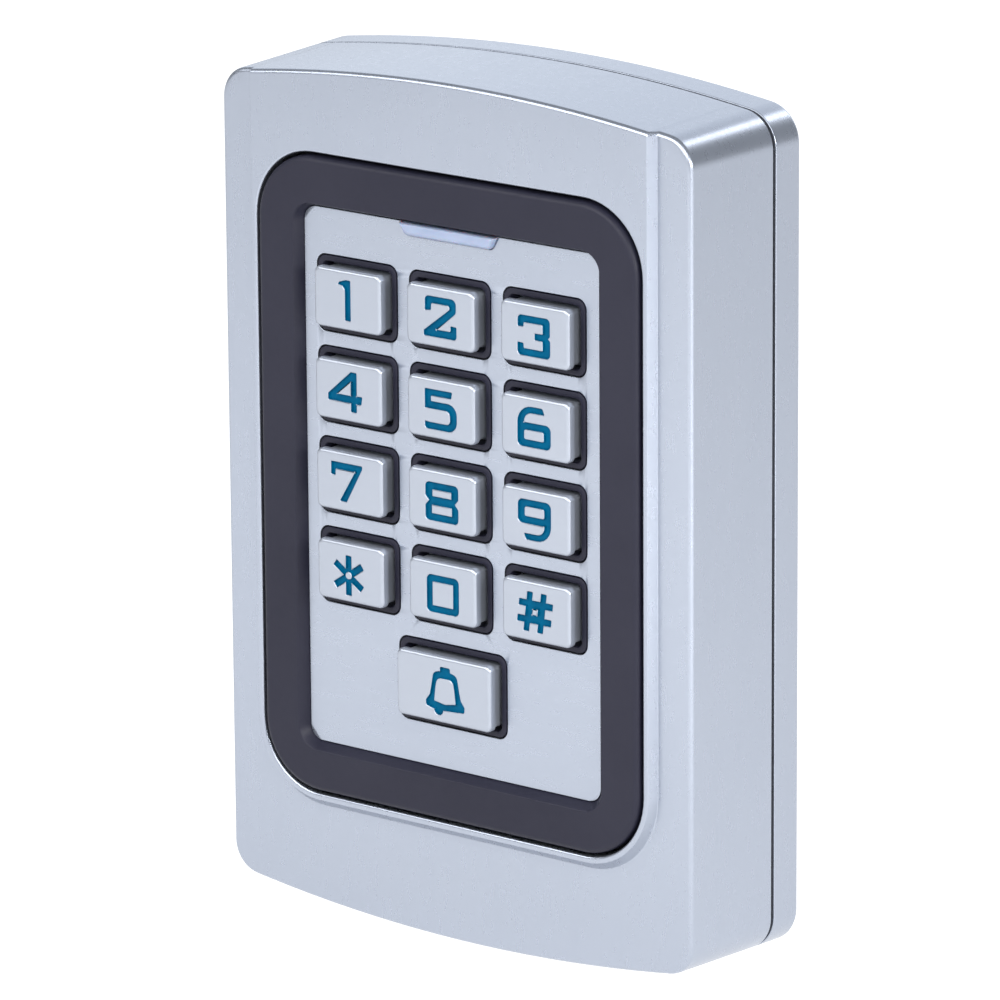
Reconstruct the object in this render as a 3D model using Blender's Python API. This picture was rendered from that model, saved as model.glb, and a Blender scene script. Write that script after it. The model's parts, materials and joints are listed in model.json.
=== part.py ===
"""Wall-mounted RFID card reader with a twelve-key pad and a bell key.

The origin is the centre of the wall face. +Y points into the wall, so the front faces -Y,
+X is to the right of a person facing the reader, and +Z is up.
"""
import math

import bmesh
import bpy

MM = 0.001

# Casing outline
CASE_HALF_W = 41.0 * MM
CASE_HALF_H = 61.2 * MM
CASE_END_R = 264.0 * MM
CASE_CORNER_R = 4.6 * MM
EDGE_CHAMFER = 0.6 * MM
DRAFT = 0.036

# Depth planes, counted from the wall
PANEL_Y = -24.8 * MM
WING_Y = -23.35 * MM
FRONT_WALL_INSIDE_Y = -21.1 * MM
HOUSING_REAR_Y = -6.05 * MM
REAR_RIM_Y = -5.55 * MM
REAR_FLOOR_Y = -2.5 * MM
WALL_T = 2.4 * MM

# Raised centre panel and the opening in it
PANEL_HALF_W = 34.7 * MM
PANEL_BOTTOM_Z = -44.75 * MM
PANEL_CORNER_R = 11.0 * MM
STEP_FOOT = 0.72 * MM
STEP_FOOT_BOTTOM = 2.1 * MM
OPENING_HALF_W = 33.75 * MM
OPENING_TOP_Z = 48.55 * MM
OPENING_BOTTOM_Z = -43.8 * MM
OPENING_R = 10.1 * MM
OPENING_LIP = 0.4 * MM

# Bosses that carry the board
BOSS_X = 31.5 * MM
BOSS_TOP_Z = 52.3 * MM
BOSS_BOTTOM_Z = -52.3 * MM
BOSS_R = 3.1 * MM
BOSS_HOLE_R = 1.4 * MM
BOSS_HOLE_DEPTH = 5.0 * MM
BOSS_REAR_Y = -17.5 * MM

# Black frame
FRAME_FRONT_Y = -25.25 * MM
FRAME_GAP = 0.5 * MM
FRAME_EDGE_R = 0.9 * MM
FRAME_INNER_HALF_W = 26.85 * MM
FRAME_INNER_TOP_Z = 41.4 * MM
FRAME_INNER_BOTTOM_Z = -37.15 * MM
FRAME_INNER_R = 3.1 * MM
FRAME_SLOPE = 0.9 * MM
FRAME_SLOPE_TOP = 0.45 * MM
FRAME_FLOOR_Y = -22.9 * MM
FRAME_POCKET_Y = -21.5 * MM
FRAME_POCKET_MARGIN = 1.0 * MM
FLANGE_FRONT_Y = -20.3 * MM
FLANGE_REAR_Y = -19.1 * MM
FLANGE_LAP = 2.3 * MM

# Metal key plate
PLATE_Y = -23.9 * MM
PLATE_T = 0.8 * MM
PLATE_GAP = 0.1 * MM

# Key pad lattice
PITCH_X = 16.46 * MM
PITCH_Z = 12.97 * MM
FIRST_ROW_Z = 28.83 * MM
BELL_Z = -24.1 * MM
HOLE_W = 14.4 * MM
HOLE_H = 11.02 * MM
BELL_HOLE_W = 19.2 * MM
BELL_HOLE_H = 12.05 * MM
HOLE_R = 1.55 * MM
COLLAR_GAP = 0.2 * MM
COLLAR_T = 0.82 * MM
COLLAR_SUNK = 0.15 * MM
KEY_GAP = 0.25 * MM

# Keys
KEY_FACE_Y = -26.15 * MM
KEY_EDGE = 0.35 * MM
KEY_CORNER_R = 0.9 * MM
KEY_FLANGE_FRONT_Y = -21.2 * MM
KEY_FLANGE_REAR_Y = -20.2 * MM
KEY_FLANGE_LAP = 0.55 * MM
ENGRAVING_DEPTH = 0.6 * MM
LEGEND_DEPTH_BELOW_FACE = 0.25 * MM
LEGEND_GAP = 0.04 * MM
LEGEND_SCALE_Z = 0.955

# Indicator lens
LENS_TOP_HALF_W = 8.5 * MM
LENS_BOTTOM_HALF_W = 7.5 * MM
LENS_BOTTOM_Z = 39.0 * MM
LENS_TOP_Z = 40.65 * MM
LENS_R = 1.0 * MM
LENS_GAP = 0.12 * MM
LENS_FRONT_Y = -24.8 * MM
LENS_EDGE = 0.4 * MM
LENS_REAR_Y = -19.7 * MM

# Rubber mat, aerial and board
MAT_HALF_W = 29.2 * MM
MAT_TOP_Z = 43.2 * MM
MAT_BOTTOM_Z = -39.2 * MM
MAT_R = 4.0 * MM
MAT_FRONT_Y = -18.8 * MM
MAT_REAR_Y = -17.6 * MM
DOME_TOP_Y = -19.9 * MM
DOME_BASE_R = 3.4 * MM
DOME_TOP_R = 2.2 * MM
LED_SLOT_HALF_W = 8.0 * MM
LED_SLOT_BOTTOM_Z = 37.6 * MM
LED_SLOT_TOP_Z = 42.0 * MM
COIL_HALF_W = 34.0 * MM
COIL_TOP_Z = 47.7 * MM
COIL_BOTTOM_Z = -43.7 * MM
COIL_R = 8.0 * MM
COIL_BAND = 3.6 * MM
BOARD_FRONT_Y = -17.3 * MM
BOARD_REAR_Y = -15.7 * MM
BOARD_HALF_W = 36.5 * MM
BOARD_HALF_H = 55.2 * MM
BOARD_R = 5.0 * MM
SEAT_GAP = 0.2 * MM

# Rear plate
LIP_INSET = 2.8 * MM
LIP_T = 1.4 * MM
LIP_FRONT_Y = -8.1 * MM
WALL_HOLE_R = 2.4 * MM
BOX_SPACING_Z = 83.3 * MM
BOX_SPACING_X = 60.3 * MM
OUTLET_Z = -18.0 * MM
OUTLET_R = 8.0 * MM
CABLE_R = 4.6 * MM
LUG_HALF_W = 5.0 * MM
LUG_TOP_Z = -50.0 * MM
LUG_BOTTOM_Z = -55.2 * MM
LUG_FRONT_Y = -13.4 * MM
LOCK_SCREW_Y = -10.4 * MM
LOCK_SCREW_R = 1.5 * MM
LOCK_HEAD_R = 2.9 * MM
LOCK_SHOULDER_Z = -60.4 * MM
LOCK_HEAD_H = 0.9 * MM
SCREW_HOLE_GAP = 0.3 * MM

KEY_ROWS = (("1", "2", "3"), ("4", "5", "6"), ("7", "8", "9"), ("star", "0", "hash"))

# Place of each legend from the centre of its key, x and z in millimetres
LEGEND_SHIFT = {
    "1": (-0.44, 0.0), "2": (0.0, 0.0), "3": (-0.16, -0.28),
    "4": (-0.53, 0.05), "5": (0.0, -0.12), "6": (-0.18, 0.0),
    "7": (-0.48, -0.05), "8": (0.05, -0.20), "9": (-0.20, -0.08),
    "star": (-0.32, -0.40), "0": (0.08, -0.36), "hash": (-0.18, -0.05),
    "bell": (0.32, -0.18),
}

# Components on the rear of the board, in millimetres.
# Boxes: name, centre x, centre z, width, height, depth
BOX_COMPONENTS = (
    ("crystal", -20.0, 13.5, 11.0, 4.6, 3.5),
    ("voltage_regulator", 22.0, -13.5, 6.6, 6.2, 2.4),
    ("lock_relay", -21.0, -32.5, 15.6, 19.2, 11.0),
    ("harness_header", 0.0, 4.0, 26.0, 6.0, 8.0),
)
# Chips: name, centre x, centre z, side, depth, leads on a side, lead pitch
CHIPS = (
    ("microcontroller", 0.0, 26.5, 10.0, 1.5, 8, 1.1),
    ("reader_chip", -20.0, 26.0, 6.0, 1.2, 5, 1.0),
)
# Turned components: name, centre x, centre z, then (radius, height above the seat) levels
TURNED_COMPONENTS = (
    ("capacitor", 23.0, 19.0, ((4.0, 0.0), (4.0, 10.1), (3.5, 10.5))),
    ("buzzer", 21.0, -34.0, ((6.0, 0.0), (6.0, 8.0), (5.5, 8.5), (1.2, 8.5), (1.1, 7.5))),
    ("tamper_sensor", 14.0, 44.0,
     ((1.9, 0.0), (1.9, 1.0), (1.5, 1.0), (1.5, 4.2), (0.9, 5.2))),
)


def clear_scene():
    for item in list(bpy.data.objects):
        bpy.data.objects.remove(item, do_unlink=True)


def material(name, colour, roughness, metallic=0.0):
    """A Principled material, made once and shared by the parts that name it."""
    found = bpy.data.materials.get(name)
    if found:
        return found
    made = bpy.data.materials.new(name)
    made.use_nodes = True
    shader = made.node_tree.nodes["Principled BSDF"]
    shader.inputs["Base Color"].default_value = (*colour, 1.0)
    shader.inputs["Roughness"].default_value = roughness
    shader.inputs["Metallic"].default_value = metallic
    made.diffuse_color = (*colour, 1.0)
    return made


def silver_lacquer():
    return material("silver_lacquer", (0.52, 0.57, 0.67), 0.42, 0.6)


def black_plastic():
    return material("black_plastic", (0.055, 0.056, 0.065), 0.45)


def satin_metal():
    return material("satin_metal", (0.55, 0.60, 0.70), 0.35, 0.8)


def blue_resin():
    return material("blue_resin", (0.0, 0.13, 0.28), 0.35)


def frosted_lens():
    return material("frosted_lens", (0.50, 0.62, 0.80), 0.3)


def grey_rubber():
    return material("grey_rubber", (0.20, 0.20, 0.21), 0.8)


def black_rubber():
    return material("black_rubber", (0.012, 0.012, 0.012), 0.75)


def green_board():
    return material("green_board", (0.01, 0.10, 0.04), 0.45)


def copper_wire():
    return material("copper_wire", (0.55, 0.20, 0.08), 0.3, 0.9)


def black_epoxy():
    return material("black_epoxy", (0.012, 0.012, 0.013), 0.5)


def zinc_steel():
    return material("zinc_steel", (0.62, 0.62, 0.60), 0.3, 0.9)


def white_nylon():
    return material("white_nylon", (0.78, 0.77, 0.72), 0.5)


def blue_case():
    return material("blue_case", (0.02, 0.10, 0.35), 0.4)


class Solid:
    """A closed body made of rings, walls between rings, and flat faces that fill rings."""

    def __init__(self):
        self.bm = bmesh.new()

    def ring(self, outline, y):
        """Points (x, z) at depth y; y is one depth, or one for each point."""
        depths = y if isinstance(y, (list, tuple)) else [y] * len(outline)
        return [self.bm.verts.new((x, depth, z)) for (x, z), depth in zip(outline, depths)]

    def edge(self, a, b):
        return self.bm.edges.get((a, b)) or self.bm.edges.new((a, b))

    def wall(self, a, b, closed=True):
        count = len(a) if closed else len(a) - 1
        for i in range(count):
            j = (i + 1) % len(a)
            self.bm.faces.new((a[i], a[j], b[j], b[i]))

    def fill(self, *rings):
        """Flat face inside the first ring and outside the others."""
        edges = []
        for ring in rings:
            edges += [self.edge(ring[i - 1], ring[i]) for i in range(len(ring))]
        bmesh.ops.triangle_fill(self.bm, use_beauty=True, edges=edges, normal=(0, 1, 0))

    def stack(self, levels, close_start=True, close_end=True):
        """Loft through (outline, y) levels; returns the first and the last ring."""
        rings = [self.ring(outline, y) for outline, y in levels]
        for a, b in zip(rings, rings[1:]):
            self.wall(a, b)
        if close_start:
            self.fill(rings[0])
        if close_end:
            self.fill(rings[-1])
        return rings[0], rings[-1]

    def finish(self, name, surface, smooth_deg=35.0):
        bmesh.ops.recalc_face_normals(self.bm, faces=self.bm.faces)
        mesh = bpy.data.meshes.new(name)
        self.bm.to_mesh(mesh)
        self.bm.free()
        mesh.materials.append(surface)
        mesh.shade_smooth()
        mesh.set_sharp_from_angle(angle=math.radians(smooth_deg))
        made = bpy.data.objects.new(name, mesh)
        bpy.context.collection.objects.link(made)
        return made


def arc(cx, cz, radius_x, start_deg, end_deg, segments, radius_z=None):
    radius_z = radius_x if radius_z is None else radius_z
    angles = [start_deg + (end_deg - start_deg) * i / segments for i in range(segments + 1)]
    return [(cx + radius_x * math.cos(math.radians(a)), cz + radius_z * math.sin(math.radians(a)))
            for a in angles]


def circle(cx, cz, radius, segments=16):
    return arc(cx, cz, radius, 0.0, 360.0, segments)[:-1]


def rounded_rect(half_w, top, bottom, radius, segments=4, cx=0.0):
    right = cx + half_w - radius
    left = cx - half_w + radius
    return (arc(right, top - radius, radius, 0, 90, segments)
            + arc(left, top - radius, radius, 90, 180, segments)
            + arc(left, bottom + radius, radius, 180, 270, segments)
            + arc(right, bottom + radius, radius, 270, 360, segments))


def centred_rect(cx, cz, width, height, radius, segments=3):
    return rounded_rect(width / 2, cz + height / 2, cz - height / 2, radius, segments, cx)


def case_end_z(x, inset):
    """Height of the shallow arc that closes the casing at both ends."""
    radius = CASE_END_R - inset
    return CASE_HALF_H - CASE_END_R + math.sqrt(radius ** 2 - x ** 2)


def case_outline(inset, stations, segments=5):
    """Casing outline; stations are the x places of points on the end arcs, left to right."""
    corner = CASE_CORNER_R - inset
    end = CASE_END_R - inset
    corner_x = CASE_HALF_W - CASE_CORNER_R
    rise = math.sqrt((end - corner) ** 2 - corner_x ** 2)
    corner_z = CASE_HALF_H - CASE_END_R + rise
    sweep = math.degrees(math.atan2(rise, corner_x))
    top_right = arc(corner_x, corner_z, corner, 0, sweep, segments)
    top = [(x, case_end_z(x, inset)) for x in reversed(stations)]
    top_left = [(-x, z) for x, z in reversed(top_right)]
    upper = top_right + top + top_left
    return upper + [(x, -z) for x, z in reversed(upper)]


def case_section(inset, y, stations, segments=5):
    """Casing outline at depth y: the sides widen towards the wall."""
    return case_outline(inset - DRAFT * (y - WING_Y), stations, segments)


def plain_stations(count=7):
    reach = CASE_HALF_W - CASE_CORNER_R - 2.0 * MM
    return [-reach + 2 * reach * i / (count - 1) for i in range(count)]


def panel_path(half_w, bottom_z, segments=6):
    """Open path down the right side of the panel, round its bottom and up the left side."""
    corner_x = PANEL_HALF_W - PANEL_CORNER_R
    corner_z = PANEL_BOTTOM_Z + PANEL_CORNER_R
    radius_x = half_w - corner_x
    radius_z = corner_z - bottom_z
    return (arc(corner_x, corner_z, radius_x, 0, -90, segments, radius_z)
            + arc(-corner_x, corner_z, radius_x, -90, -180, segments, radius_z))


def boss_places():
    return [(x, z) for x in (-BOSS_X, BOSS_X) for z in (BOSS_BOTTOM_Z, BOSS_TOP_Z)]


def key_places():
    """Every key as (label, centre x, centre z, hole width, hole height)."""
    places = []
    for row, labels in enumerate(KEY_ROWS):
        for column, label in enumerate(labels):
            x = (column - 1) * PITCH_X
            places.append((label, x, FIRST_ROW_Z - row * PITCH_Z, HOLE_W, HOLE_H))
    places.append(("bell", 0.0, BELL_Z, BELL_HOLE_W, BELL_HOLE_H))
    return places


# Legends. A contour is a list of corners (x, z, corner radius) in millimetres from its centre.

def rounded_contour(corners, large_radius=0.5):
    """Replace each corner by an arc of its radius, where it has one."""
    points = []
    for i, (x, z, radius) in enumerate(corners):
        before = corners[i - 1]
        after = corners[(i + 1) % len(corners)]
        ux, uz = before[0] - x, before[1] - z
        vx, vz = after[0] - x, after[1] - z
        u_len, v_len = math.hypot(ux, uz), math.hypot(vx, vz)
        ux, uz, vx, vz = ux / u_len, uz / u_len, vx / v_len, vz / v_len
        angle = math.acos(max(-1.0, min(1.0, ux * vx + uz * vz)))
        if radius < 0.15 or angle > math.radians(170):
            points.append((x, z))
            continue
        reach = radius / math.tan(angle / 2)
        start = (x + ux * reach, z + uz * reach)
        stop = (x + vx * reach, z + vz * reach)
        segments = 2 if radius > large_radius else 1
        for k in range(segments + 1):
            t = k / segments
            a, b, c = (1 - t) ** 2, 2 * t * (1 - t), t ** 2
            weight = math.sin(angle / 2)
            total = a + b * weight + c
            points.append(((a * start[0] + b * weight * x + c * stop[0]) / total,
                           (a * start[1] + b * weight * z + c * stop[1]) / total))
    return points


def box_contour(left, top, right, bottom, radius):
    return [(left, bottom, radius), (right, bottom, radius),
            (right, top, radius), (left, top, radius)]


def half_turn(contours):
    return [[(-x, -z, r) for x, z, r in contour] for contour in contours]


def digit_nine():
    outer = [(-1.45, -2.93, 0.3), (2.83, -2.93, 2.4), (2.83, 2.9, 0.8), (-2.83, 2.9, 0.8),
             (-2.83, -0.55, 0.8), (1.75, -0.55, 0), (1.75, -2.1, 1.3), (-1.75, -2.1, 0)]
    return [outer, box_contour(-1.72, 1.95, 1.75, 0.42, 0.35)]


def star_contours(arm=2.93, half_w=0.48, lean_deg=35.0, eye=0.6):
    angles = [lean_deg, 90, 180 - lean_deg, 180 + lean_deg, 270, 360 - lean_deg]
    outer = []
    for i, angle in enumerate(angles):
        before = angles[i - 1] - (360 if i == 0 else 0)
        middle = math.radians((before + angle) / 2)
        crotch = half_w / math.sin(math.radians(angle - before) / 2)
        outer.append((crotch * math.cos(middle), crotch * math.sin(middle), 0))
        a = math.radians(angle)
        for side in (-half_w, half_w):
            outer.append((arm * math.cos(a) - side * math.sin(a),
                          arm * math.sin(a) + side * math.cos(a), 0))
    return [outer, [(x, z, 0) for x, z in circle(0, 0, eye, 8)]]


def hash_contours(reach=2.9, inner=0.75, outer_edge=1.65, eye=0.48, slant=0.12):
    side = [(-outer_edge, outer_edge), (-outer_edge, reach), (-inner, reach), (-inner, outer_edge),
            (inner, outer_edge), (inner, reach), (outer_edge, reach)]
    outer = []
    for turn in range(4):
        for x, z in side:
            for _ in range(turn):
                x, z = z, -x
            outer.append((x + slant * z, z, 0))
    hole = [(x + slant * z, z, 0) for x, z in ((-eye, eye), (eye, eye), (eye, -eye), (-eye, -eye))]
    return [outer, hole]


def bell_contours():
    clapper_x, clapper_z, clapper_r = -1.15, -2.85, 0.75
    outer = [(-0.85, 3.6, 0.2), (0.85, 3.6, 0.2), (0.85, 2.95, 0.15), (2.05, 2.65, 0.9),
             (2.5, 0.2, 0.8), (2.75, -0.9, 0.6), (3.4, -1.8, 0.25), (3.35, -2.6, 0.25)]
    outer += [(x, z, 0) for x, z in arc(clapper_x, clapper_z, clapper_r, 0, -180, 6)]
    outer += [(-3.35, -2.45, 0.25), (-3.4, -1.75, 0.25), (-2.7, -0.8, 0.6), (-2.4, 0.6, 0.8),
              (-2.05, 2.65, 0.9), (-0.85, 2.95, 0.15)]
    inner = [(-2.0, -1.65, 0.2), (0.0, -2.0, 0), (1.9, -1.65, 0.2), (1.65, 0.6, 0.5),
             (1.35, 1.98, 0.9), (-1.45, 1.98, 0.9), (-1.75, 0.6, 0.5)]
    return [outer, inner]


def legend_contours(label):
    """Outer contour first, then the islands of bare metal inside it."""
    if label == "1":
        return [[(1.0, 2.95, 0), (1.0, -2.95, 0), (0.08, -2.95, 0), (0.08, 1.6, 0.3),
                 (-0.35, 2.15, 0.2), (-1.15, 2.3, 0), (-0.9, 2.6, 0), (0.2, 2.95, 0.4)]]
    if label == "2":
        return [[(-2.78, -2.91, 0), (2.84, -2.91, 0.5), (2.84, -1.1, 0), (1.88, -1.05, 0),
                 (1.88, -1.91, 0.3), (-0.75, -1.91, 0), (2.75, 1.0, 0.7), (2.75, 2.91, 0.75),
                 (-2.6, 2.91, 0.6), (-2.6, 0.82, 0), (-1.62, 0.98, 0), (-1.55, 2.0, 0.25),
                 (1.66, 2.0, 0.3), (1.72, 1.35, 0.3), (-2.85, -2.23, 0)]]
    if label == "3":
        return [[(-2.7, 1.25, 0), (-1.8, 1.3, 0), (-1.75, 1.95, 0.2), (1.6, 1.95, 0.2),
                 (1.6, 0.48, 0.2), (0.22, 0.45, 0), (0.22, -0.42, 0), (1.6, -0.45, 0.2),
                 (1.6, -1.95, 0.2), (-1.75, -1.95, 0.2), (-1.8, -1.2, 0), (-2.75, -1.15, 0),
                 (-2.75, -2.9, 0.65), (2.8, -2.9, 0.65), (2.8, -0.35, 0.3), (2.4, 0.02, 0),
                 (2.75, 0.38, 0.3), (2.75, 2.88, 0.6), (-2.7, 2.88, 0.6)]]
    if label == "4":
        return [[(1.0, 2.93, 0), (2.0, 2.93, 0), (2.0, -0.53, 0), (3.0, -0.5, 0),
                 (2.8, -1.62, 0), (2.0, -1.62, 0), (2.0, -2.9, 0), (1.05, -2.9, 0),
                 (1.05, -1.62, 0), (-3.05, -1.6, 0), (-3.05, -0.7, 0)],
                [(1.08, 1.6, 0), (1.08, -0.57, 0), (-1.45, -0.57, 0)]]
    if label == "5":
        return [[(-2.76, 2.91, 0), (1.96, 2.91, 0), (1.8, 2.04, 0), (-1.75, 2.04, 0),
                 (-1.75, 1.11, 0), (2.76, 1.11, 1.5), (2.76, -2.9, 1.5), (-2.76, -2.9, 0.5),
                 (-2.76, -1.9, 0), (-1.95, -2.0, 0), (1.65, -2.0, 0.7), (1.65, 0.14, 0.8),
                 (-2.76, 0.14, 0)]]
    if label == "6":
        return half_turn(digit_nine())
    if label == "7":
        return [[(-2.73, 2.83, 0), (2.77, 2.83, 0), (2.77, 2.45, 0), (-0.05, -2.86, 0),
                 (-1.2, -2.86, 0), (1.6, 1.87, 0), (-2.0, 1.87, 0), (-2.05, 0.9, 0),
                 (-2.73, 1.0, 0)]]
    if label == "8":
        return [[(-2.86, 2.8, 0.65), (-2.86, 0.85, 0.4), (-2.2, 0.1, 0.15), (-2.86, -0.65, 0.4),
                 (-2.86, -2.8, 0.65), (2.86, -2.8, 0.65), (2.86, -0.65, 0.4), (2.2, 0.1, 0.15),
                 (2.86, 0.85, 0.4), (2.86, 2.8, 0.65)],
                box_contour(-1.7, 1.83, 1.7, 0.71, 0),
                box_contour(-1.8, -0.48, 1.8, -1.83, 0)]
    if label == "9":
        return digit_nine()
    if label == "0":
        return [box_contour(-2.8, 2.75, 2.8, -2.75, 0.75), box_contour(-1.85, 1.83, 1.85, -1.83, 0)]
    if label == "star":
        return star_contours()
    if label == "hash":
        return hash_contours()
    return bell_contours()


def offset_contour(points, distance):
    """Move a closed contour towards its own inside by a small distance."""
    area = sum(points[i - 1][0] * points[i][1] - points[i][0] * points[i - 1][1]
               for i in range(len(points)))
    sign = 1.0 if area > 0 else -1.0
    moved = []
    for i, (x, z) in enumerate(points):
        before, after = points[i - 1], points[(i + 1) % len(points)]
        normals = []
        for (ax, az), (bx, bz) in ((before, (x, z)), ((x, z), after)):
            length = math.hypot(bx - ax, bz - az)
            normals.append((-(bz - az) / length * sign, (bx - ax) / length * sign))
        (nx, nz), (mx, mz) = normals
        scale = distance / max(0.3, 1.0 + nx * mx + nz * mz)
        moved.append((x + (nx + mx) * scale, z + (nz + mz) * scale))
    return moved


def placed_legend(label, x, z):
    shift_x, shift_z = LEGEND_SHIFT[label]
    return [[(x + (shift_x + px) * MM, z + (shift_z + pz * LEGEND_SCALE_Z) * MM)
             for px, pz in rounded_contour(contour)]
            for contour in legend_contours(label)]


# Keys

def key_size(hole_w, hole_h):
    side = 2 * (COLLAR_GAP + COLLAR_T + KEY_GAP)
    return hole_w - side, hole_h - side


def key_cap(label, x, z, hole_w, hole_h):
    """Metal cap with a retaining flange and an engraved legend."""
    width, height = key_size(hole_w, hole_h)
    lap = 2 * (KEY_GAP + KEY_FLANGE_LAP)
    inset = 2 * KEY_EDGE
    solid = Solid()
    face, _ = solid.stack([
        (centred_rect(x, z, width - inset, height - inset, KEY_CORNER_R - KEY_EDGE / 2, 2),
         KEY_FACE_Y),
        (centred_rect(x, z, width - inset * 0.3, height - inset * 0.3, KEY_CORNER_R, 2),
         KEY_FACE_Y + KEY_EDGE * 0.3),
        (centred_rect(x, z, width, height, KEY_CORNER_R, 2), KEY_FACE_Y + KEY_EDGE),
        (centred_rect(x, z, width, height, KEY_CORNER_R, 2), KEY_FLANGE_FRONT_Y),
        (centred_rect(x, z, width + lap, height + lap, KEY_CORNER_R, 2), KEY_FLANGE_FRONT_Y),
        (centred_rect(x, z, width + lap, height + lap, KEY_CORNER_R, 2), KEY_FLANGE_REAR_Y),
    ], close_start=False)
    contours = placed_legend(label, x, z)
    floor_y = KEY_FACE_Y + ENGRAVING_DEPTH
    rims = [solid.ring(points, KEY_FACE_Y) for points in contours]
    feet = [solid.ring(points, floor_y) for points in contours]
    for rim, foot in zip(rims, feet):
        solid.wall(rim, foot)
    solid.fill(face, rims[0])
    solid.fill(*feet)
    for island in rims[1:]:
        solid.fill(island)
    return solid.finish("key_%s_cap" % label, satin_metal())


def key_legend(label, x, z):
    """Coloured resin in the engraving."""
    outer, *islands = placed_legend(label, x, z)
    contours = [offset_contour(outer, LEGEND_GAP)]
    contours += [offset_contour(island, -LEGEND_GAP) for island in islands]
    solid = Solid()
    front_y = KEY_FACE_Y + LEGEND_DEPTH_BELOW_FACE
    rear_y = KEY_FACE_Y + ENGRAVING_DEPTH - LEGEND_GAP
    front = [solid.ring(points, front_y) for points in contours]
    rear = [solid.ring(points, rear_y) for points in contours]
    for a, b in zip(front, rear):
        solid.wall(a, b)
    solid.fill(*front)
    solid.fill(*rear)
    return solid.finish("key_%s_legend" % label, blue_resin())


# Casing

def cut(target, cutter):
    """Take the cutter out of the target with a Boolean modifier."""
    cutter.hide_render = True
    cutter.display_type = "WIRE"
    boolean = target.modifiers.new("cut_" + cutter.name, "BOOLEAN")
    boolean.operation = "DIFFERENCE"
    boolean.solver = "EXACT"
    boolean.object = cutter


def vertical_pin(name, levels, cy, surface, segments=16):
    """Round body along Z through x = 0; levels are (radius, z)."""
    solid = Solid()
    rings = []
    for radius, z in levels:
        rings.append([solid.bm.verts.new((px, cy + py, z)) for px, py in circle(0, 0, radius, segments)])
    for a, b in zip(rings, rings[1:]):
        solid.wall(a, b)
    solid.bm.faces.new(rings[0])
    solid.bm.faces.new(rings[-1])
    return solid.finish(name, surface)


def front_housing():
    """Cast shell: raised panel between two lower wings, with the pad opening."""
    step = [PANEL_HALF_W, PANEL_HALF_W + STEP_FOOT]
    stations = [-step[1]] + [PANEL_HALF_W * k / 4 for k in range(-4, 5)] + [step[1]]
    solid = Solid()

    def depths(outline, drop):
        return [(PANEL_Y if z > 0 and abs(x) < PANEL_HALF_W + 0.5 * STEP_FOOT else WING_Y) + drop
                for x, z in outline]

    inset_outline = case_outline(EDGE_CHAMFER, stations)
    side_outline = case_outline(0.0, stations)
    front = solid.ring(inset_outline, depths(inset_outline, 0.0))
    side = solid.ring(side_outline, depths(side_outline, EDGE_CHAMFER))
    rear = solid.ring(case_section(0.0, HOUSING_REAR_Y, stations), HOUSING_REAR_Y)
    solid.wall(front, side)
    solid.wall(side, rear)

    def top_index(x_wanted):
        return min(range(len(front)),
                   key=lambda i: abs(inset_outline[i][0] - x_wanted) + (inset_outline[i][1] < 0))

    panel_right, panel_left = top_index(step[0]), top_index(-step[0])
    foot_right, foot_left = top_index(step[1]), top_index(-step[1])
    panel_edge = ([front[panel_right]]
                  + solid.ring(panel_path(PANEL_HALF_W, PANEL_BOTTOM_Z), PANEL_Y)
                  + [front[panel_left]])
    foot_edge = ([front[foot_right]]
                 + solid.ring(panel_path(PANEL_HALF_W + STEP_FOOT,
                                         PANEL_BOTTOM_Z - STEP_FOOT_BOTTOM), WING_Y)
                 + [front[foot_left]])
    solid.wall(panel_edge, foot_edge, closed=False)
    lip = solid.ring(rounded_rect(OPENING_HALF_W + OPENING_LIP, OPENING_TOP_Z + OPENING_LIP,
                                  OPENING_BOTTOM_Z - OPENING_LIP, OPENING_R + OPENING_LIP, 6), PANEL_Y)
    opening = rounded_rect(OPENING_HALF_W, OPENING_TOP_Z, OPENING_BOTTOM_Z, OPENING_R, 6)
    throat = solid.ring(opening, PANEL_Y + OPENING_LIP)
    inside = solid.ring(opening, FRONT_WALL_INSIDE_Y)
    solid.wall(lip, throat)
    solid.wall(throat, inside)
    panel_loop = panel_edge + front[panel_right + 1:panel_left][::-1]
    solid.fill(panel_loop, lip)
    wing_loop = front[foot_left:] + front[:foot_right] + foot_edge[:-1]
    solid.fill(wing_loop)

    cavity_front, cavity_rear = solid.stack([
        (case_section(WALL_T, FRONT_WALL_INSIDE_Y, plain_stations()), FRONT_WALL_INSIDE_Y),
        (case_section(WALL_T, HOUSING_REAR_Y, plain_stations()), HOUSING_REAR_Y),
    ], False, False)
    solid.fill(rear, cavity_rear)
    bosses = []
    for x, z in boss_places():
        foot = solid.ring(circle(x, z, BOSS_R, 12), FRONT_WALL_INSIDE_Y)
        end = solid.ring(circle(x, z, BOSS_R, 12), BOSS_REAR_Y)
        hole = solid.ring(circle(x, z, BOSS_HOLE_R, 12), BOSS_REAR_Y)
        bottom = solid.ring(circle(x, z, BOSS_HOLE_R, 12), BOSS_REAR_Y - BOSS_HOLE_DEPTH)
        solid.wall(foot, end)
        solid.fill(end, hole)
        solid.wall(hole, bottom)
        solid.fill(bottom)
        bosses.append(foot)
    solid.fill(cavity_front, inside, *bosses)
    housing = solid.finish("front_housing", silver_lacquer())
    below = -CASE_HALF_H - 2.0 * MM
    cut(housing, vertical_pin("lock_hole_cutter", [
        (LOCK_HEAD_R + SCREW_HOLE_GAP, below), (LOCK_HEAD_R + SCREW_HOLE_GAP, LOCK_SHOULDER_Z),
        (LOCK_SCREW_R + SCREW_HOLE_GAP, LOCK_SHOULDER_Z), (LOCK_SCREW_R + SCREW_HOLE_GAP, LUG_TOP_Z),
    ], LOCK_SCREW_Y, silver_lacquer()))
    return housing


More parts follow.
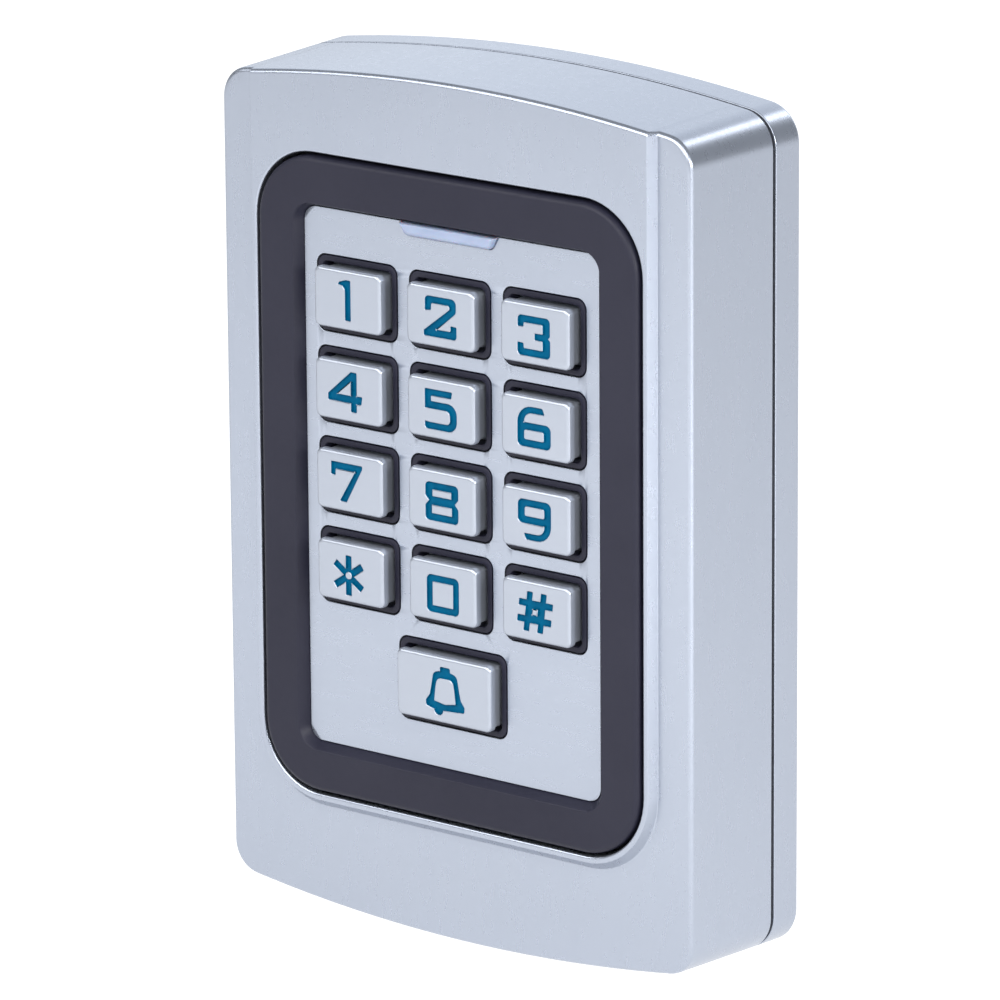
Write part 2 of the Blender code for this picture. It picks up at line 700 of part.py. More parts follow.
def wall_hole_places():
    return [(0.0, BOX_SPACING_Z / 2), (0.0, -BOX_SPACING_Z / 2),
            (BOX_SPACING_X / 2, 0.0), (-BOX_SPACING_X / 2, 0.0)]


def rear_plate():
    """Cast plate that stays on the wall, with a locating lip and the locking lug."""
    stations = plain_stations()
    solid = Solid()
    rim, back = solid.stack([
        (case_section(0.0, REAR_RIM_Y, stations), REAR_RIM_Y),
        (case_section(0.0, -EDGE_CHAMFER, stations), -EDGE_CHAMFER),
        (case_section(EDGE_CHAMFER, 0.0, stations), 0.0),
    ], close_start=False, close_end=False)
    lip_outer = case_section(LIP_INSET, LIP_FRONT_Y, stations)
    lip_inner = case_section(LIP_INSET + LIP_T, LIP_FRONT_Y, stations)
    lip_foot = solid.ring(lip_outer, REAR_RIM_Y)
    lip_front = solid.ring(lip_outer, LIP_FRONT_Y)
    lip_back = solid.ring(lip_inner, LIP_FRONT_Y)
    floor = solid.ring(lip_inner, REAR_FLOOR_Y)
    solid.fill(rim, lip_foot)
    solid.wall(lip_foot, lip_front)
    solid.fill(lip_front, lip_back)
    solid.wall(lip_back, floor)
    holes = [circle(x, z, WALL_HOLE_R, 16) for x, z in wall_hole_places()]
    holes.append(circle(0.0, OUTLET_Z, OUTLET_R, 24))
    inner_loops, outer_loops = [], []
    for hole in holes:
        inner, outer = solid.stack([(hole, REAR_FLOOR_Y), (hole, 0.0)], False, False)
        inner_loops.append(inner)
        outer_loops.append(outer)
    lug = rounded_rect(LUG_HALF_W, LUG_TOP_Z, LUG_BOTTOM_Z, 1.0 * MM, 2)
    lug_foot, _ = solid.stack([(lug, REAR_FLOOR_Y), (lug, LUG_FRONT_Y)], False, True)
    solid.fill(floor, lug_foot, *inner_loops)
    solid.fill(back, *outer_loops)
    plate = solid.finish("rear_plate", silver_lacquer())
    cut(plate, vertical_pin("lug_hole_cutter", [
        (LOCK_SCREW_R + 0.2 * MM, LUG_BOTTOM_Z - 2.0 * MM),
        (LOCK_SCREW_R + 0.2 * MM, LUG_TOP_Z + 2.0 * MM),
    ], LOCK_SCREW_Y, silver_lacquer()))
    return plate


def frame_outline(grow, segments=6):
    """Outline of the black frame, grown from the casing's opening."""
    return rounded_rect(OPENING_HALF_W + grow, OPENING_TOP_Z + grow, OPENING_BOTTOM_Z - grow,
                        OPENING_R + grow, segments)


def recess_outline(grow, grow_top=None, segments=4):
    """Outline of the recess that holds the key plate; its top can grow by another amount."""
    grow_top = grow if grow_top is None else grow_top
    return rounded_rect(FRAME_INNER_HALF_W + grow, FRAME_INNER_TOP_Z + grow_top,
                        FRAME_INNER_BOTTOM_Z - grow, FRAME_INNER_R + grow, segments)


def lens_outline(grow):
    """Trapezium with rounded lower corners, wider at its top."""
    top_w, bottom_w = LENS_TOP_HALF_W + grow, LENS_BOTTOM_HALF_W + grow
    top, bottom = LENS_TOP_Z + grow, LENS_BOTTOM_Z - grow
    corners = [(bottom_w, bottom, LENS_R), (top_w, top, 0), (-top_w, top, 0), (-bottom_w, bottom, LENS_R)]
    return [(x * MM, z * MM) for x, z in
            rounded_contour([(x / MM, z / MM, r / MM) for x, z, r in corners])]


def bezel_frame():
    """Black frame around the key plate, with a guide collar for each key."""
    solid = Solid()
    edge_y = FRAME_FRONT_Y + FRAME_EDGE_R
    half_edge = FRAME_EDGE_R * (1 - math.sqrt(0.5))
    front, flange = solid.stack([
        (frame_outline(-FRAME_GAP - FRAME_EDGE_R), FRAME_FRONT_Y),
        (frame_outline(-FRAME_GAP - half_edge), FRAME_FRONT_Y + half_edge),
        (frame_outline(-FRAME_GAP), edge_y),
        (frame_outline(-FRAME_GAP), FLANGE_FRONT_Y),
        (frame_outline(FLANGE_LAP), FLANGE_FRONT_Y),
        (frame_outline(FLANGE_LAP), FLANGE_REAR_Y),
    ], False, False)
    inner, floor = solid.stack([
        (recess_outline(0.0), FRAME_FRONT_Y),
        (recess_outline(-FRAME_SLOPE, -FRAME_SLOPE_TOP), PLATE_Y + PLATE_GAP),
        (recess_outline(-FRAME_SLOPE, -FRAME_SLOPE_TOP), FRAME_FLOOR_Y),
    ], False, False)
    solid.fill(front, inner)
    mouth, pocket = solid.stack([
        (recess_outline(FRAME_POCKET_MARGIN), FLANGE_REAR_Y),
        (recess_outline(FRAME_POCKET_MARGIN), FRAME_POCKET_Y),
    ], False, False)
    solid.fill(flange, mouth)
    floor_loops, pocket_loops = [floor], [pocket]
    for _, x, z, hole_w, hole_h in key_places():
        collar_w, collar_h = hole_w - 2 * COLLAR_GAP, hole_h - 2 * COLLAR_GAP
        outer = centred_rect(x, z, collar_w, collar_h, HOLE_R - COLLAR_GAP)
        bore = centred_rect(x, z, collar_w - 2 * COLLAR_T, collar_h - 2 * COLLAR_T, KEY_CORNER_R)
        foot = solid.ring(outer, FRAME_FLOOR_Y)
        crown = solid.ring(outer, PLATE_Y + COLLAR_SUNK)
        end = solid.ring(bore, PLATE_Y + COLLAR_SUNK)
        exit_ring = solid.ring(bore, FRAME_POCKET_Y)
        solid.wall(foot, crown)
        solid.fill(crown, end)
        solid.wall(end, exit_ring)
        floor_loops.append(foot)
        pocket_loops.append(exit_ring)
    slot_front, slot_rear = solid.stack([
        (lens_outline(LENS_GAP), FRAME_FLOOR_Y),
        (lens_outline(LENS_GAP), FRAME_POCKET_Y),
    ], False, False)
    solid.fill(*floor_loops, slot_front)
    solid.fill(*pocket_loops, slot_rear)
    return solid.finish("bezel_frame", black_plastic())


def plate_outline():
    """Key plate edge, with the notch that the indicator lens fills."""
    edge = recess_outline(-FRAME_SLOPE - PLATE_GAP, -FRAME_SLOPE_TOP - PLATE_GAP)
    top = max(z for _, z in edge)
    half_w = LENS_TOP_HALF_W + LENS_GAP
    split = max(range(len(edge)), key=lambda i: (edge[i][1] >= top - 1e-9, -edge[i][0]))
    notch = sorted(lens_outline(LENS_GAP), key=lambda p: -p[0])
    return edge[:split] + [(half_w, top)] + notch + [(-half_w, top)] + edge[split:]


def key_plate():
    """Thin metal plate with a hole for each key."""
    solid = Solid()
    front_loops, rear_loops = [], []
    outlines = [plate_outline()]
    outlines += [centred_rect(x, z, w, h, HOLE_R) for _, x, z, w, h in key_places()]
    for outline in outlines:
        front, rear = solid.stack([(outline, PLATE_Y), (outline, PLATE_Y + PLATE_T)], False, False)
        front_loops.append(front)
        rear_loops.append(rear)
    solid.fill(*front_loops)
    solid.fill(*rear_loops)
    return solid.finish("key_plate", silver_lacquer())


def indicator_lens():
    """Light pipe from the status lamps to the notch in the key plate."""
    solid = Solid()
    solid.stack([
        (lens_outline(-LENS_EDGE), LENS_FRONT_Y),
        (lens_outline(-0.3 * LENS_EDGE), LENS_FRONT_Y + 0.3 * LENS_EDGE),
        (lens_outline(0.0), LENS_FRONT_Y + LENS_EDGE),
        (lens_outline(0.0), LENS_REAR_Y),
    ])
    return solid.finish("indicator_lens", frosted_lens())


# Inside

def keypad_mat():
    """Silicone mat with a dome behind each key and a slot for the status lamps."""
    outline = rounded_rect(MAT_HALF_W, MAT_TOP_Z, MAT_BOTTOM_Z, MAT_R, 3)
    slot = rounded_rect(LED_SLOT_HALF_W, LED_SLOT_TOP_Z, LED_SLOT_BOTTOM_Z, 0.6 * MM, 1)
    solid = Solid()
    front, rear = solid.stack([(outline, MAT_FRONT_Y), (outline, MAT_REAR_Y)], False, False)
    slot_front, slot_rear = solid.stack([(slot, MAT_FRONT_Y), (slot, MAT_REAR_Y)], False, False)
    domes = []
    for _, x, z, _, _ in key_places():
        foot, _ = solid.stack([
            (circle(x, z, DOME_BASE_R, 12), MAT_FRONT_Y),
            (circle(x, z, DOME_TOP_R, 12), DOME_TOP_Y),
        ], False, True)
        domes.append(foot)
    solid.fill(front, slot_front, *domes)
    solid.fill(rear, slot_rear)
    return solid.finish("keypad_mat", grey_rubber())


def flat_ring(name, outer, inner, front_y, rear_y, surface):
    solid = Solid()
    outer_front, outer_rear = solid.stack([(outer, front_y), (outer, rear_y)], False, False)
    inner_front, inner_rear = solid.stack([(inner, front_y), (inner, rear_y)], False, False)
    solid.fill(outer_front, inner_front)
    solid.fill(outer_rear, inner_rear)
    return solid.finish(name, surface)


def antenna_coil():
    """Flat winding around the key pad, behind the black frame."""
    outer = rounded_rect(COIL_HALF_W, COIL_TOP_Z, COIL_BOTTOM_Z, COIL_R, 5)
    inner = rounded_rect(COIL_HALF_W - COIL_BAND, COIL_TOP_Z - COIL_BAND, COIL_BOTTOM_Z + COIL_BAND,
                         COIL_R - COIL_BAND, 5)
    return flat_ring("antenna_coil", outer, inner, MAT_FRONT_Y, MAT_REAR_Y, copper_wire())


def bezel_gasket():
    margin = 0.15 * MM
    return flat_ring("bezel_gasket", frame_outline(FLANGE_LAP - margin), frame_outline(margin),
                     FRONT_WALL_INSIDE_Y + 0.1 * MM, FLANGE_FRONT_Y - 0.1 * MM, black_rubber())


def rear_gasket():
    stations = plain_stations()
    return flat_ring("rear_gasket", case_section(0.5 * MM, HOUSING_REAR_Y, stations),
                     case_section(WALL_T + 0.1 * MM, HOUSING_REAR_Y, stations),
                     HOUSING_REAR_Y + 0.1 * MM, REAR_RIM_Y - 0.1 * MM, black_rubber())


def main_board():
    """Circuit board on the four bosses."""
    outline = rounded_rect(BOARD_HALF_W, BOARD_HALF_H, -BOARD_HALF_H, BOARD_R, 3)
    solid = Solid()
    front, rear = solid.stack([(outline, BOARD_FRONT_Y), (outline, BOARD_REAR_Y)], False, False)
    front_loops, rear_loops = [front], [rear]
    for x, z in boss_places():
        hole = circle(x, z, BOSS_HOLE_R + 0.3 * MM, 12)
        a, b = solid.stack([(hole, BOARD_FRONT_Y), (hole, BOARD_REAR_Y)], False, False)
        front_loops.append(a)
        rear_loops.append(b)
    solid.fill(*front_loops)
    solid.fill(*rear_loops)
    return solid.finish("main_board", green_board())


def board_screw(index, x, z):
    """Pan-head screw with a hexagon socket, from the board into a boss."""
    head_r, head_h, shank_r = 2.5 * MM, 1.8 * MM, 1.15 * MM
    seat_y = BOARD_REAR_Y + SEAT_GAP
    solid = Solid()
    _, rim = solid.stack([
        (circle(x, z, shank_r, 12), BOSS_REAR_Y - BOSS_HOLE_DEPTH + 0.6 * MM),
        (circle(x, z, shank_r, 12), seat_y),
        (circle(x, z, head_r, 12), seat_y),
        (circle(x, z, head_r, 12), seat_y + head_h * 0.6),
        (circle(x, z, head_r * 0.7, 12), seat_y + head_h),
    ], True, False)
    socket = circle(x, z, head_r * 0.42, 6)
    mouth, _ = solid.stack([(socket, seat_y + head_h), (socket, seat_y + head_h * 0.4)], False, True)
    solid.fill(rim, mouth)
    return solid.finish("board_screw_%d" % index, zinc_steel())


def security_screw():
    """Screw that locks the housing to the lug of the rear plate."""
    solid = Solid()
    top_z = LUG_TOP_Z + 0.5 * MM
    seat_z = LOCK_SHOULDER_Z - SEAT_GAP
    end_z = seat_z - LOCK_HEAD_H
    levels = [(LOCK_SCREW_R, top_z), (LOCK_SCREW_R, seat_z), (LOCK_HEAD_R, seat_z),
              (LOCK_HEAD_R, end_z + 0.4 * MM), (LOCK_HEAD_R * 0.85, end_z)]
    rings = [[solid.bm.verts.new((px, LOCK_SCREW_Y + py, z)) for px, py in circle(0, 0, radius, 16)]
             for radius, z in levels]
    for a, b in zip(rings, rings[1:]):
        solid.wall(a, b)
    solid.bm.faces.new(rings[0])
    socket_r = LOCK_HEAD_R * 0.45
    mouth, bottom = [[solid.bm.verts.new((px, LOCK_SCREW_Y + py, z))
                      for px, py in circle(0, 0, socket_r, 6)]
                     for z in (end_z, end_z + 0.8 * MM)]
    solid.wall(mouth, bottom)
    solid.bm.faces.new(bottom)
    edges = []
    for ring in (rings[-1], mouth):
        edges += [solid.edge(ring[i - 1], ring[i]) for i in range(len(ring))]
    bmesh.ops.triangle_fill(solid.bm, use_beauty=True, edges=edges, normal=(0, 0, 1))
    return solid.finish("security_screw", zinc_steel())


def cable_grommet():
    """Rubber sleeve that lines the cable outlet."""
    bore = circle(0.0, OUTLET_Z, CABLE_R, 16)
    body = circle(0.0, OUTLET_Z, OUTLET_R - 0.2 * MM, 24)
    flange = circle(0.0, OUTLET_Z, OUTLET_R + 2.0 * MM, 24)
    solid = Solid()
    flange_front, back = solid.stack([
        (flange, REAR_FLOOR_Y - 1.8 * MM),
        (flange, REAR_FLOOR_Y - 0.2 * MM),
        (body, REAR_FLOOR_Y - 0.2 * MM),
        (body, -0.3 * MM),
    ], False, False)
    bore_front, bore_back = solid.stack([(bore, REAR_FLOOR_Y - 1.8 * MM), (bore, -0.3 * MM)],
                                        False, False)
    solid.fill(flange_front, bore_front)
    solid.fill(back, bore_back)
    return solid.finish("cable_grommet", black_rubber())


def block(name, cx, cz, width, height, depth, surface, chamfer=0.3 * MM):
    """Component body on the rear of the board."""
    seat = BOARD_REAR_Y + SEAT_GAP
    solid = Solid()
    solid.stack([
        (centred_rect(cx, cz, width, height, 0.4 * MM, 1), seat),
        (centred_rect(cx, cz, width, height, 0.4 * MM, 1), seat + depth - chamfer),
        (centred_rect(cx, cz, width - 2 * chamfer, height - 2 * chamfer, 0.4 * MM, 1), seat + depth),
    ])
    return solid.finish(name, surface)


def leaded_chip(name, cx, cz, size, depth, leads, pitch, lead_length=0.8 * MM):
    """Square chip body that stands on four rows of leads."""
    half = size / 2
    side = []
    for k in range(leads):
        along = (k - (leads - 1) / 2) * pitch
        for offset, reach in ((-0.25, 0), (-0.25, 1), (0.25, 1), (0.25, 0)):
            side.append((along + offset * pitch, -half - reach * lead_length))
    toothed = []
    corners = ((-half, -half), (half, -half), (half, half), (-half, half))
    for turn, corner in enumerate(corners):
        toothed.append(corner)
        for x, z in side:
            for _ in range(turn):
                x, z = -z, x
            toothed.append((x, z))
    toothed = [(cx + x, cz + z) for x, z in toothed]
    seat = BOARD_REAR_Y + SEAT_GAP
    body = centred_rect(cx, cz, size * 0.97, size * 0.97, 0.3 * MM, 1)
    solid = Solid()
    _, shelf = solid.stack([(toothed, seat), (toothed, seat + depth * 0.4)], True, False)
    foot, _ = solid.stack([(body, seat + depth * 0.4), (body, seat + depth)], False, True)
    solid.fill(shelf, foot)
    return solid.finish(name, black_epoxy())


def round_block(name, cx, cz, levels, surface, segments=16):
    """Turned component; levels are (radius, height above the seat)."""
    seat = BOARD_REAR_Y + SEAT_GAP
    solid = Solid()
    solid.stack([(circle(cx, cz, radius, segments), seat + height) for radius, height in levels])
    return solid.finish(name, surface)


def status_led(index):
    """Lamp on the front of the board, behind the light pipe."""
    spacing = 4.8 * MM
    lamp_z = (LED_SLOT_TOP_Z + LED_SLOT_BOTTOM_Z) / 2
    solid = Solid()
    x = (index - 2) * spacing
    front_y = LENS_REAR_Y + 0.6 * MM
    solid.stack([
        (circle(x, lamp_z, 0.9 * MM, 8), front_y),
        (circle(x, lamp_z, 1.2 * MM, 8), front_y + 0.4 * MM),
        (centred_rect(x, lamp_z, 3.5 * MM, 2.8 * MM, 0.5 * MM, 1), front_y + 0.5 * MM),
        (centred_rect(x, lamp_z, 3.5 * MM, 2.8 * MM, 0.5 * MM, 1), BOARD_FRONT_Y - SEAT_GAP),
    ])
    return solid.finish("status_led_%d" % index, white_nylon())


def board_parts():
    surfaces = {
        "crystal": zinc_steel(), "voltage_regulator": black_epoxy(), "lock_relay": blue_case(),
        "harness_header": white_nylon(), "capacitor": black_epoxy(), "buzzer": black_plastic(),
        "tamper_sensor": frosted_lens(),
    }
    for name, x, z, width, height, depth in BOX_COMPONENTS:
        block(name, x * MM, z * MM, width * MM, height * MM, depth * MM, surfaces[name])
    for name, x, z, size, depth, leads, pitch in CHIPS:
        leaded_chip(name, x * MM, z * MM, size * MM, depth * MM, leads, pitch * MM)
    for name, x, z, levels in TURNED_COMPONENTS:
        round_block(name, x * MM, z * MM, [(r * MM, height * MM) for r, height in levels],
                    surfaces[name])


def build():
    clear_scene()
    front_housing()
    rear_plate()
    bezel_frame()
    key_plate()
    indicator_lens()
    for label, x, z, hole_w, hole_h in key_places():
        key_cap(label, x, z, hole_w, hole_h)
        key_legend(label, x, z)
    keypad_mat()
    antenna_coil()
    bezel_gasket()
    rear_gasket()
    main_board()
    for index, (x, z) in enumerate(boss_places(), 1):
        board_screw(index, x, z)
    for index in (1, 2, 3):
        status_led(index)
    security_screw()
    cable_grommet()
    board_parts()


build()
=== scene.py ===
"""Finished surfaces for the RFID card reader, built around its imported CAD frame.

Lengths are in metres. The front faces -Y, +X is to the right of a person facing the keys.
"""

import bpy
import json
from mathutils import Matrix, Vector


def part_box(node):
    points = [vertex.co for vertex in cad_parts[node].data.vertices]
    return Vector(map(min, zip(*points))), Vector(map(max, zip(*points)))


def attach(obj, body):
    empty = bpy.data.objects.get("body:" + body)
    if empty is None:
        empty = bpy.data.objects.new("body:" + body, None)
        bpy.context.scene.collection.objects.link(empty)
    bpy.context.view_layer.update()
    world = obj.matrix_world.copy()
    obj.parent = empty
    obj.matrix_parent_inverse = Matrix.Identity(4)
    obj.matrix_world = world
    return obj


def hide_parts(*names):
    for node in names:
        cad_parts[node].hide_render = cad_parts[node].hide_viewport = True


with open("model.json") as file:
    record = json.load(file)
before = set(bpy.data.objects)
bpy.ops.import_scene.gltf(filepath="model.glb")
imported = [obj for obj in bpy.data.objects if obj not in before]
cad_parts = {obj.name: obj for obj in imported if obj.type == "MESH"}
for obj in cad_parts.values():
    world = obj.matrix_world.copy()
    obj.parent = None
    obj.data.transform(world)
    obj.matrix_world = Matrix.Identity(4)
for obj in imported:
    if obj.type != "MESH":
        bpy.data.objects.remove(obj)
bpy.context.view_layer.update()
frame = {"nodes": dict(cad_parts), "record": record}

import json
import math

import bmesh
import bpy
from mathutils import Matrix, Vector

MM = 0.001

# Read from the frame
CASE_LOW, CASE_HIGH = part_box("front_housing")
REAR_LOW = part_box("rear_plate")[0]
BEZEL_LOW, BEZEL_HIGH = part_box("bezel_frame")
PLATE_LOW, PLATE_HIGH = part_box("key_plate")
LENS_LOW, LENS_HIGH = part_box("indicator_lens")
KEY_LOW, KEY_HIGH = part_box("key_5_cap")
LEGEND_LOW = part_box("key_5_legend")[0]

PANEL_Y = CASE_LOW.y
HOUSING_REAR_Y = CASE_HIGH.y
FRAME_FRONT_Y = BEZEL_LOW.y
FLANGE_REAR_Y = BEZEL_HIGH.y
PLATE_Y = PLATE_LOW.y
KEY_FACE_Y = KEY_LOW.y
KEY_REAR_Y = KEY_HIGH.y

# Casing, measured at the wings; its sides widen towards the wall
CASE_HALF_W = 41.0 * MM
CASE_HALF_H = 61.2 * MM
DRAFT = 0.036
CASE_END_R = 264.0 * MM
CASE_CORNER_R = 4.6 * MM
CASE_EDGE_R = 0.7 * MM
REAR_EDGE_R = 0.7 * MM
SEAM_EDGE_R = 0.08 * MM
RIM_EDGE_R = 0.14 * MM
WING_Y = PANEL_Y + 1.45 * MM
FRONT_WALL_INSIDE_Y = PANEL_Y + 3.7 * MM
WALL_T = 2.4 * MM
PANEL_HALF_W = 34.7 * MM
PANEL_BOTTOM_Z = -44.75 * MM
PANEL_CORNER_R = 11.0 * MM
STEP_EDGE_R = 0.15 * MM
STEP_LEAN = 0.57 * MM
COVE_START = 1.0 * MM
COVE_WIDTH = 2.1 * MM
OPENING_HALF_W = 33.75 * MM
OPENING_TOP_Z = 48.55 * MM
OPENING_BOTTOM_Z = -43.8 * MM
OPENING_R = 10.1 * MM
OPENING_LIP = 0.35 * MM
BOSS_R = 3.1 * MM
BOSS_HOLE_R = 1.4 * MM
BOSS_HOLE_DEPTH = 5.0 * MM
BOSS_REAR_Y = -17.5 * MM

# Rear plate: locating lip, wall holes, cable outlet and locking lug
REAR_RIM_Y = -5.40 * MM
REAR_FLOOR_Y = -2.5 * MM
LIP_FRONT_Y = -8.1 * MM
LIP_INSET = 2.8 * MM
LIP_T = 1.4 * MM
WALL_HOLE_R = 2.4 * MM
WALL_HOLE_HALF_TALL = 41.65 * MM
WALL_HOLE_HALF_WIDE = 30.15 * MM
WALL_HOLE_EDGE = 0.35 * MM
LUG_HALF_W = 5.0 * MM
LUG_TOP_Z = -50.0 * MM
LUG_BOTTOM_Z = -55.2 * MM
LUG_CORNER_R = 1.0 * MM
LUG_HOLE_R = 1.7 * MM
GROMMET_LAP = 2.0 * MM
GROMMET_BODY_INSET = 2.15 * MM
GROMMET_BORE_R = 4.6 * MM
GROMMET_FLANGE_T = 1.6 * MM
GROMMET_FLANGE_EDGE = 0.3 * MM
GROMMET_MOUTH_R = 0.6 * MM
GROMMET_SHOULDER_R = 0.4 * MM

# Security screw in the bottom edge
LOCK_SCREW_Y = -10.4 * MM
LOCK_SHOULDER_Z = -60.4 * MM
LOCK_HEAD_GAP = 0.3 * MM
LOCK_SHANK_HOLE_R = 1.8 * MM
LOCK_SHANK_HOLE_DEPTH = 4.0 * MM
LOCK_SEAT_GAP = 0.2 * MM
LOCK_HEAD_EDGE = ((0.0, 0.35 * MM), (0.12 * MM, 0.1 * MM), (0.4 * MM, 0.0))
LOCK_SHANK_R = 1.5 * MM
LOCK_TIP_TAPER = 0.6
LOCK_THREAD_START = 1.0 * MM
LOCK_THREAD_END = 0.6 * MM
LOCK_THREAD_DEPTH = 0.22 * MM
LOCK_THREAD_TURNS = 14
LOCK_SOCKET_R = 1.3 * MM
LOCK_SOCKET_DEPTH = 0.8 * MM
LOCK_PIN_R = 0.45 * MM
LOCK_PIN_SUNK = 0.1 * MM
CUTTER_PAST = 2.0 * MM

# Black frame
FRAME_GAP = 0.5 * MM
FRAME_EDGE_R = 0.9 * MM
FRAME_INNER_HALF_W = 26.85 * MM
FRAME_INNER_TOP_Z = 41.4 * MM
FRAME_INNER_BOTTOM_Z = -37.15 * MM
FRAME_INNER_R = 3.1 * MM
FRAME_INNER_EDGE = 0.25 * MM
FRAME_INNER_BENDS = ((0.0, 0.0), (0.12 * MM, 0.03 * MM), (0.21 * MM, 0.12 * MM), (0.28 * MM, 0.25 * MM))
FRAME_SLOPE = 0.9 * MM
FRAME_SLOPE_TOP = 0.45 * MM
FRAME_FLOOR_Y = PLATE_Y + 1.0 * MM
FRAME_POCKET_Y = PLATE_Y + 2.4 * MM
FRAME_POCKET_MARGIN = 1.0 * MM
FLANGE_FRONT_Y = FLANGE_REAR_Y - 1.2 * MM
FLANGE_LAP = 2.3 * MM

# Key plate and keys
PLATE_GAP = 0.1 * MM
PLATE_EDGE = 0.12 * MM
HOLE_R = 1.55 * MM
HOLE_MARGIN = 0.47 * MM
COLLAR_GAP = 0.2 * MM
COLLAR_T = 0.82 * MM
COLLAR_EDGE = 0.15 * MM
KEY_LAP = 0.8 * MM
KEY_EDGE_R = 0.5 * MM
KEY_HEAD_T = 1.2 * MM
KEY_NECK_INSET = 0.4 * MM
KEY_CORNER_R = 0.9 * MM
KEY_CORNER_TAPER = 0.6
KEY_FLANGE_T = 1.0 * MM
ENGRAVING_DEPTH = 0.6 * MM
ENGRAVING_EDGE = 0.08 * MM
LEGEND_SCALE_Z = 0.955
LEGEND_STROKE = 0.05 * MM
MENISCUS = 0.08 * MM
RESIN_SUNK = 0.16 * MM
RESIN_BRIM = 0.01 * MM

# Where the rounding of a small edge has its middle point, as a part of the edge's width
EDGE_BEND = 0.3

# Indicator lens
LENS_GAP = 0.05 * MM
LENS_TOP_HALF_W = LENS_HIGH.x
LENS_BOTTOM_HALF_W = LENS_TOP_HALF_W - 1.0 * MM
LENS_EXTRA = 0.02 * MM
LENS_R = 1.0 * MM
LENS_EDGE_R = 0.7 * MM
LENS_TOP_GAP = 0.05 * MM
LENS_TOP_LEAN = 0.4
LENS_HEAD_REAR_Y = PLATE_Y + 0.7 * MM
LENS_PIPE_FRONT_Y = PLATE_Y + 0.75 * MM

# Floor, just under the object's lowest edge
FLOOR_GAP = 0.8 * MM

# Camera, from the view that the object is shown in
CAMERA_AT = Vector((0.63595, -0.80404, 0.27118))
CAMERA_YAW = 0.67731
CAMERA_PITCH = 0.26076
CAMERA_ROLL = -0.00686
CAMERA_LENS_MM = 272.96

LABELS = ("1", "2", "3", "4", "5", "6", "7", "8", "9", "star", "0", "hash", "bell")

# Place of each legend from the centre of its key, x and z in millimetres
LEGEND_SHIFT = {
    "1": (-0.44, 0.0), "2": (0.0, 0.0), "3": (-0.16, -0.28),
    "4": (-0.53, 0.05), "5": (0.0, -0.12), "6": (-0.18, 0.0),
    "7": (-0.48, -0.05), "8": (0.05, -0.20), "9": (-0.20, -0.08),
    "star": (-0.32, -0.40), "0": (0.08, -0.36), "hash": (-0.18, -0.05),
    "bell": (0.32, -0.18),
}


# Materials

class Nodes:
    """Short calls for building a node tree around one Principled shader."""

    def __init__(self, name):
        self.material = bpy.data.materials.new(name)
        self.material.use_nodes = True
        self.tree = self.material.node_tree
        self.shader = self.tree.nodes["Principled BSDF"]
        self.place = self.tree.nodes.new("ShaderNodeTexCoord").outputs["Object"]

    def set(self, **values):
        for key, value in values.items():
            self.shader.inputs[key.replace("_", " ")].default_value = value
        return self

    def link(self, a, b):
        self.tree.links.new(a, b)

    def stretched(self, scale):
        node = self.tree.nodes.new("ShaderNodeMapping")
        node.inputs["Scale"].default_value = scale
        self.link(self.place, node.inputs["Vector"])
        return node.outputs["Vector"]

    def noise(self, scale, detail=3.0, rough=0.55, vector=None):
        node = self.tree.nodes.new("ShaderNodeTexNoise")
        node.inputs["Scale"].default_value = scale
        node.inputs["Detail"].default_value = detail
        node.inputs["Roughness"].default_value = rough
        self.link(vector or self.place, node.inputs["Vector"])
        return node.outputs["Fac"]

    def remap(self, value, low, high, from_low=0.3, from_high=0.7):
        node = self.tree.nodes.new("ShaderNodeMapRange")
        for key, number in (("From Min", from_low), ("From Max", from_high),
                            ("To Min", low), ("To Max", high)):
            node.inputs[key].default_value = number
        self.link(value, node.inputs["Value"])
        return node.outputs["Result"]

    def colours(self, value, low, high, from_low=0.3, from_high=0.7):
        node = self.tree.nodes.new("ShaderNodeValToRGB")
        node.color_ramp.elements[0].position = from_low
        node.color_ramp.elements[0].color = (*low, 1.0)
        node.color_ramp.elements[1].position = from_high
        node.color_ramp.elements[1].color = (*high, 1.0)
        self.link(value, node.inputs["Fac"])
        self.link(node.outputs["Color"], self.shader.inputs["Base Color"])

    def add(self, a, b):
        node = self.tree.nodes.new("ShaderNodeMath")
        node.operation = "ADD"
        self.link(a, node.inputs[0])
        self.link(b, node.inputs[1])
        return node.outputs["Value"]

    def roughness(self, value, low, high):
        self.link(self.remap(value, low, high), self.shader.inputs["Roughness"])

    def bump(self, height, strength, distance):
        node = self.tree.nodes.new("ShaderNodeBump")
        node.inputs["Strength"].default_value = strength
        node.inputs["Distance"].default_value = distance
        self.link(height, node.inputs["Height"])
        self.link(node.outputs["Normal"], self.shader.inputs["Normal"])


def satin_lacquer(name, low, high, grain, metallic=0.88, rough_low=0.26, rough_high=0.32):
    """Metallic lacquer: cloudy tone, a fine directional grain and pin-point flake."""
    n = Nodes(name).set(Metallic=metallic)
    cloud = n.noise(45.0, 3.0)
    streak = n.noise(260.0, 4.0, 0.6, n.stretched(grain))
    flake = n.noise(2600.0, 2.0)
    n.colours(n.add(n.remap(cloud, 0.0, 0.5), n.remap(streak, 0.0, 0.5)), low, high, 0.0, 1.0)
    n.roughness(n.noise(1400.0, 4.0, 0.6, n.stretched(grain)), rough_low, rough_high)
    n.bump(n.add(n.remap(streak, 0.0, 0.6), n.remap(flake, 0.0, 0.4)), 0.015, 0.01 * MM)
    return n.material


